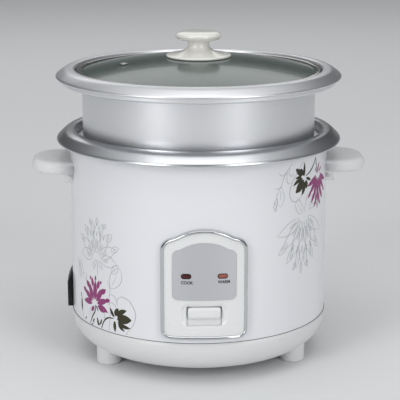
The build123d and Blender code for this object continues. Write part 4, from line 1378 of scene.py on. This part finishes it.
    def left_group(self) -> None:
        """Standing flowers to the left of the panel."""
        self.lotus((-116.0, 113.0), 2.0, 39.0, Ink.GREY, 92.0)
        self.lotus((-120.5, 66.5), 4.0, 28.0, Ink.MAGENTA, 98.0)
        self.filled(Ink.MAGENTA, Petal((-122, 64.5), -150, 8, 4.2, 30))
        self.filled(Ink.MAGENTA, Petal((-114, 64), 98, 12, 4.2, -24))
        self.curve(Ink.OLIVE, [(-119.5, 66), (-120, 60), (-125, 53), (-129, 45.5)], 1.5)
        self.bud((-91.5, 58.5), 78.0, 20.0)
        self.curve(Ink.OLIVE, [(-93, 58.6), (-101, 57.5), (-107, 52), (-110, 44.8)], 1.6)
        self.draw(
            curves=(
                (1.0, (-116, 113), (-114.5, 104), (-115.5, 95)),
                (1.0, (-140, 90), (-136, 88), (-135, 93), (-139, 94)),
                (1.0, (-101, 95), (-98, 90), (-97.5, 84), (-99, 76)),
                (1.3, (-88, 72), (-88, 78), (-83, 82), (-75, 80), (-69, 73), (-67, 65), (-70, 56),
                 (-76, 48.5), (-78, 45)),
                (1.0, (-88, 72), (-90, 79), (-95, 82), (-99, 80)),
                (1.0, (-100, 71), (-96, 74), (-91, 72), (-89, 69)),
                (1.0, (-99, 76), (-97, 66), (-98, 56), (-99, 44.8)),
                (0.8, (-107, 66), (-105.5, 58), (-106, 52)),
                (0.8, (-130, 52), (-129, 60), (-125, 62)),
                (1.0, (-146, 53), (-144, 49), (-143, 46)),
            ),
            outlines=(
                (0, (-117, 112), -150, 11, 3.5, -30), (0, (-113, 112), 148, 10, 3.5, -30),
                (1, (-155, 104), 128, 20, 7.5, 34), (0, (-153, 101), 158, 15, 5.0, 20),
                (1, (-97, 88), 34, 25, 14, -22, 0.9, 0.8), (1, (-93, 102), 24, 13, 7, 38),
            ),
            leaves=(
                ((-119, 66), 138, 7, 1.6, 10), ((-92, 60), -38, 10, 2.8, 8),
                ((-146, 53), -6, 15, 3.2, 10), ((-148.5, 67), 8, 5, 1.4),
                ((-114, 46), -22, 9, 2.7, 12), ((-112, 48), 20, 7, 2.1, 12),
                ((-116, 47), 60, 5, 1.5, 12), ((-124, 47), 25, 6, 1.8, 12),
                ((-139, 46), 30, 5, 1.5, 12), ((-127, 44.6), 70, 4, 1.2, 12),
            ),
        )

    def right_group(self) -> None:
        """Hanging flowers to the right of the panel."""
        self.bud((110.5, 192.0), 222.0, 19.0)
        self.curve(Ink.OLIVE, [(112, 193.5), (119, 196), (126, 201.5), (131, 208)], 1.5)
        self.curve(Ink.OLIVE, [(131, 208), (132.5, 200), (136, 192)], 1.2)
        self.lotus((137.0, 192.5), 181.0, 34.0, Ink.MAGENTA, 66.0)
        for start, heading, length in (((136, 193), 20, 10), ((139, 192), 50, 8), ((134, 192), -35, 7)):
            self.filled(Ink.MAGENTA, Petal(start, heading, length, 0.26 * length, 20))
        self.lotus((110.0, 158.0), 184.0, 56.0, Ink.GREY, 62.0)
        self.draw(
            curves=(
                (1.3, (107.5, 208), (98, 199), (90.5, 189), (88, 180), (91, 173), (97, 170.8),
                 (103, 173), (106, 178)),
                (1.2, (92, 209), (85, 203), (80, 196), (77, 187)),
                (1.0, (83, 201), (78, 198.5), (74, 202)),
                (1.0, (88, 205), (87, 199), (91, 196.5), (93, 199)),
                (1.0, (85, 203), (84, 195), (86, 190), (90, 190.5)),
                (1.0, (77, 189), (74, 186.5), (70.5, 188)),
                (1.0, (110, 158), (112, 166), (116, 176)),
            ),
            outlines=(
                (1, (77, 188), 184, 19, 9.0, -8, 0.9, 0.8), (0, (73, 178), 204, 12, 3.6, -30),
                (0, (70, 174), 176, 9, 3.0, -20), (1, (107, 158), -38, 19, 9.0, 46),
                (1, (118, 160), 66, 22, 8.0, 44),
            ),
            leaves=(
                ((109.5, 194), -2, 13, 3.2, 6), ((107, 195.5), -62, 13, 6.0, 20, 0.5, 0.8),
            ),
        )


# ---- Studio ----
@dataclass
class Studio:
    """Pale floor, soft lights, and the camera."""

    target: tuple[float, float, float] = (0.0, 0.0, 150.5)
    distance: float = 1434.9
    azimuth: float = -2.4
    elevation: float = 14.007
    lens: float = 128.54
    shift: float = 0.0036
    front_stops: tuple[tuple[float, str], ...] = (
        (0.5, "#b4b6b8"), (0.55, "#77797b"), (0.6, "#202122"), (0.78, "#262728"),
        (0.86, "#b9bbbd"), (0.93, "#f6f7f8"),
    )
    side_stops: tuple[tuple[float, str], ...] = (
        (0.42, "#a2a4a6"), (0.48, "#4a4c4e"), (0.56, "#55575a"), (0.64, "#8f9193"), (0.8, "#b0b2b4"),
        (0.93, "#f6f7f8"),
    )

    lights: tuple[tuple[str, tuple, tuple, float], ...] = (
        # name, place and size in metres, watts
        ("overhead_box", (0.0, -0.6, 2.4), (2.2, 1.4), 12.0),
        ("front_left_box", (-1.75, -2.0, 1.1), (0.9, 1.9), 27.0),
        ("front_right_box", (1.5, -2.15, 1.1), (1.0, 1.9), 23.0),
        ("back_box", (-0.2, 2.4, 1.7), (2.4, 1.0), 9.0),
    )
    aim: tuple[float, float, float] = (0.0, 0.0, 0.15)
    tent: float = 0.75
    floor: float = 12.0

    def direction(self) -> Vector:
        """Unit vector from the target to the camera."""
        turn, rise = math.radians(self.azimuth), math.radians(self.elevation)
        return Vector(
            (math.sin(turn) * math.cos(rise), -math.cos(turn) * math.cos(rise), math.sin(rise))
        )

    def build_camera(self) -> None:
        """Camera on the object's front, a little above it."""
        data = bpy.data.cameras.new("camera")
        data.lens, data.sensor_width, data.shift_x = self.lens, 36.0, self.shift
        camera = bpy.data.objects.new("camera", data)
        bpy.context.scene.collection.objects.link(camera)
        back = self.direction()
        camera.location = (Vector(self.target) + back * self.distance) * MM
        camera.rotation_mode = "QUATERNION"
        camera.rotation_quaternion = back.to_track_quat("Z", "Y")
        bpy.context.scene.camera = camera

    def build_lights(self) -> None:
        """Soft boxes that face the object."""
        for name, place, size, watts in self.lights:
            data = bpy.data.lights.new(name, "AREA")
            data.shape, data.size, data.size_y, data.energy = "RECTANGLE", *size, watts
            light = bpy.data.objects.new(name, data)
            bpy.context.scene.collection.objects.link(light)
            light.location = place
            light.rotation_mode = "QUATERNION"
            back = Vector(place) - Vector(self.aim)
            light.rotation_quaternion = back.to_track_quat("Z", "Y")

    def build_floor(self) -> None:
        """Wide pale floor."""
        mesh, r = bpy.data.meshes.new("floor"), self.floor
        mesh.from_pydata([(-r, -r, 0), (r, -r, 0), (r, r, 0), (-r, r, 0)], [], [(0, 1, 2, 3)])
        # Matt painted board: pale and even.
        board = Finish("matt_pale_board", "#e6e7e8", 0.85, grain_mm=40.0, relief_mm=0.0, shade=0.01)
        mesh.materials.append(board.material())
        floor = bpy.data.objects.new("floor", mesh)
        bpy.context.scene.collection.objects.link(floor)

    def build_tent(self) -> None:
        """Soft tent round the studio, darker ahead above the level and at the sides on it.

        Each ramp reads the height of the view's direction, from 0 straight down to 1 straight up,
        and the two are mixed by the square of the direction's x.
        """
        world = bpy.data.worlds.new("studio")
        bpy.context.scene.world = world
        world.use_nodes = True
        tree = world.node_tree
        tree.nodes.clear()
        way = add_node(tree, "ShaderNodeTexCoord").outputs["Generated"]
        axes = add_node(tree, "ShaderNodeSeparateXYZ", {0: way}).outputs
        share = add_node(tree, "ShaderNodeMapRange", {0: axes[2], 1: -1.0, 2: 1.0}).outputs[0]
        side = add_node(tree, "ShaderNodeMath", {0: axes[0], 1: axes[0]}, operation="MULTIPLY")
        ramps = []
        for stops in (self.front_stops, self.side_stops):
            ramp = add_node(tree, "ShaderNodeValToRGB", {0: share})
            colours = ramp.color_ramp.elements
            colours[0].color, colours[1].color = linear("#c4c6c8"), linear("#ffffff")
            for place, colour in stops:
                colours.new(place).color = linear(colour)
            ramps.append(ramp.outputs[0])
        mixed = add_node(
            tree, "ShaderNodeMix", {0: side.outputs[0], 6: ramps[0], 7: ramps[1]}, data_type="RGBA"
        )
        sky = add_node(tree, "ShaderNodeBackground", {0: mixed.outputs[2], 1: self.tent})
        add_node(tree, "ShaderNodeOutputWorld", {0: sky.outputs[0]})

    def build(self) -> None:
        """Builds the studio."""
        self.build_camera()
        self.build_floor()
        self.build_lights()
        self.build_tent()
        bpy.context.scene.view_settings.view_transform = "Standard"


def dress_frame() -> None:
    """Gives every part of the frame the finish of its material slot."""
    for name, node in frame["nodes"].items():
        material = SLOT_FINISHES[slot_of(name)].material()
        node.data.materials.clear()
        node.data.materials.append(material)


def main() -> None:
    """Builds the cooker's sub-assemblies in order, then the studio."""
    logging.basicConfig(level=logging.INFO, format="%(message)s")
    dress_frame()
    Drum(PressedRim()).build()
    Steamer(PressedRim(edge=277.6, rise=8.6, wall=0.9)).build()
    Lid().build()
    ControlPanel().build()
    for node in ("right_handle", "left_handle", "power_inlet", "inner_pot"):
        smooth_copy(node)
    FlowerPrint().build()
    Studio().build()


if __name__ == "__main__":
    main()
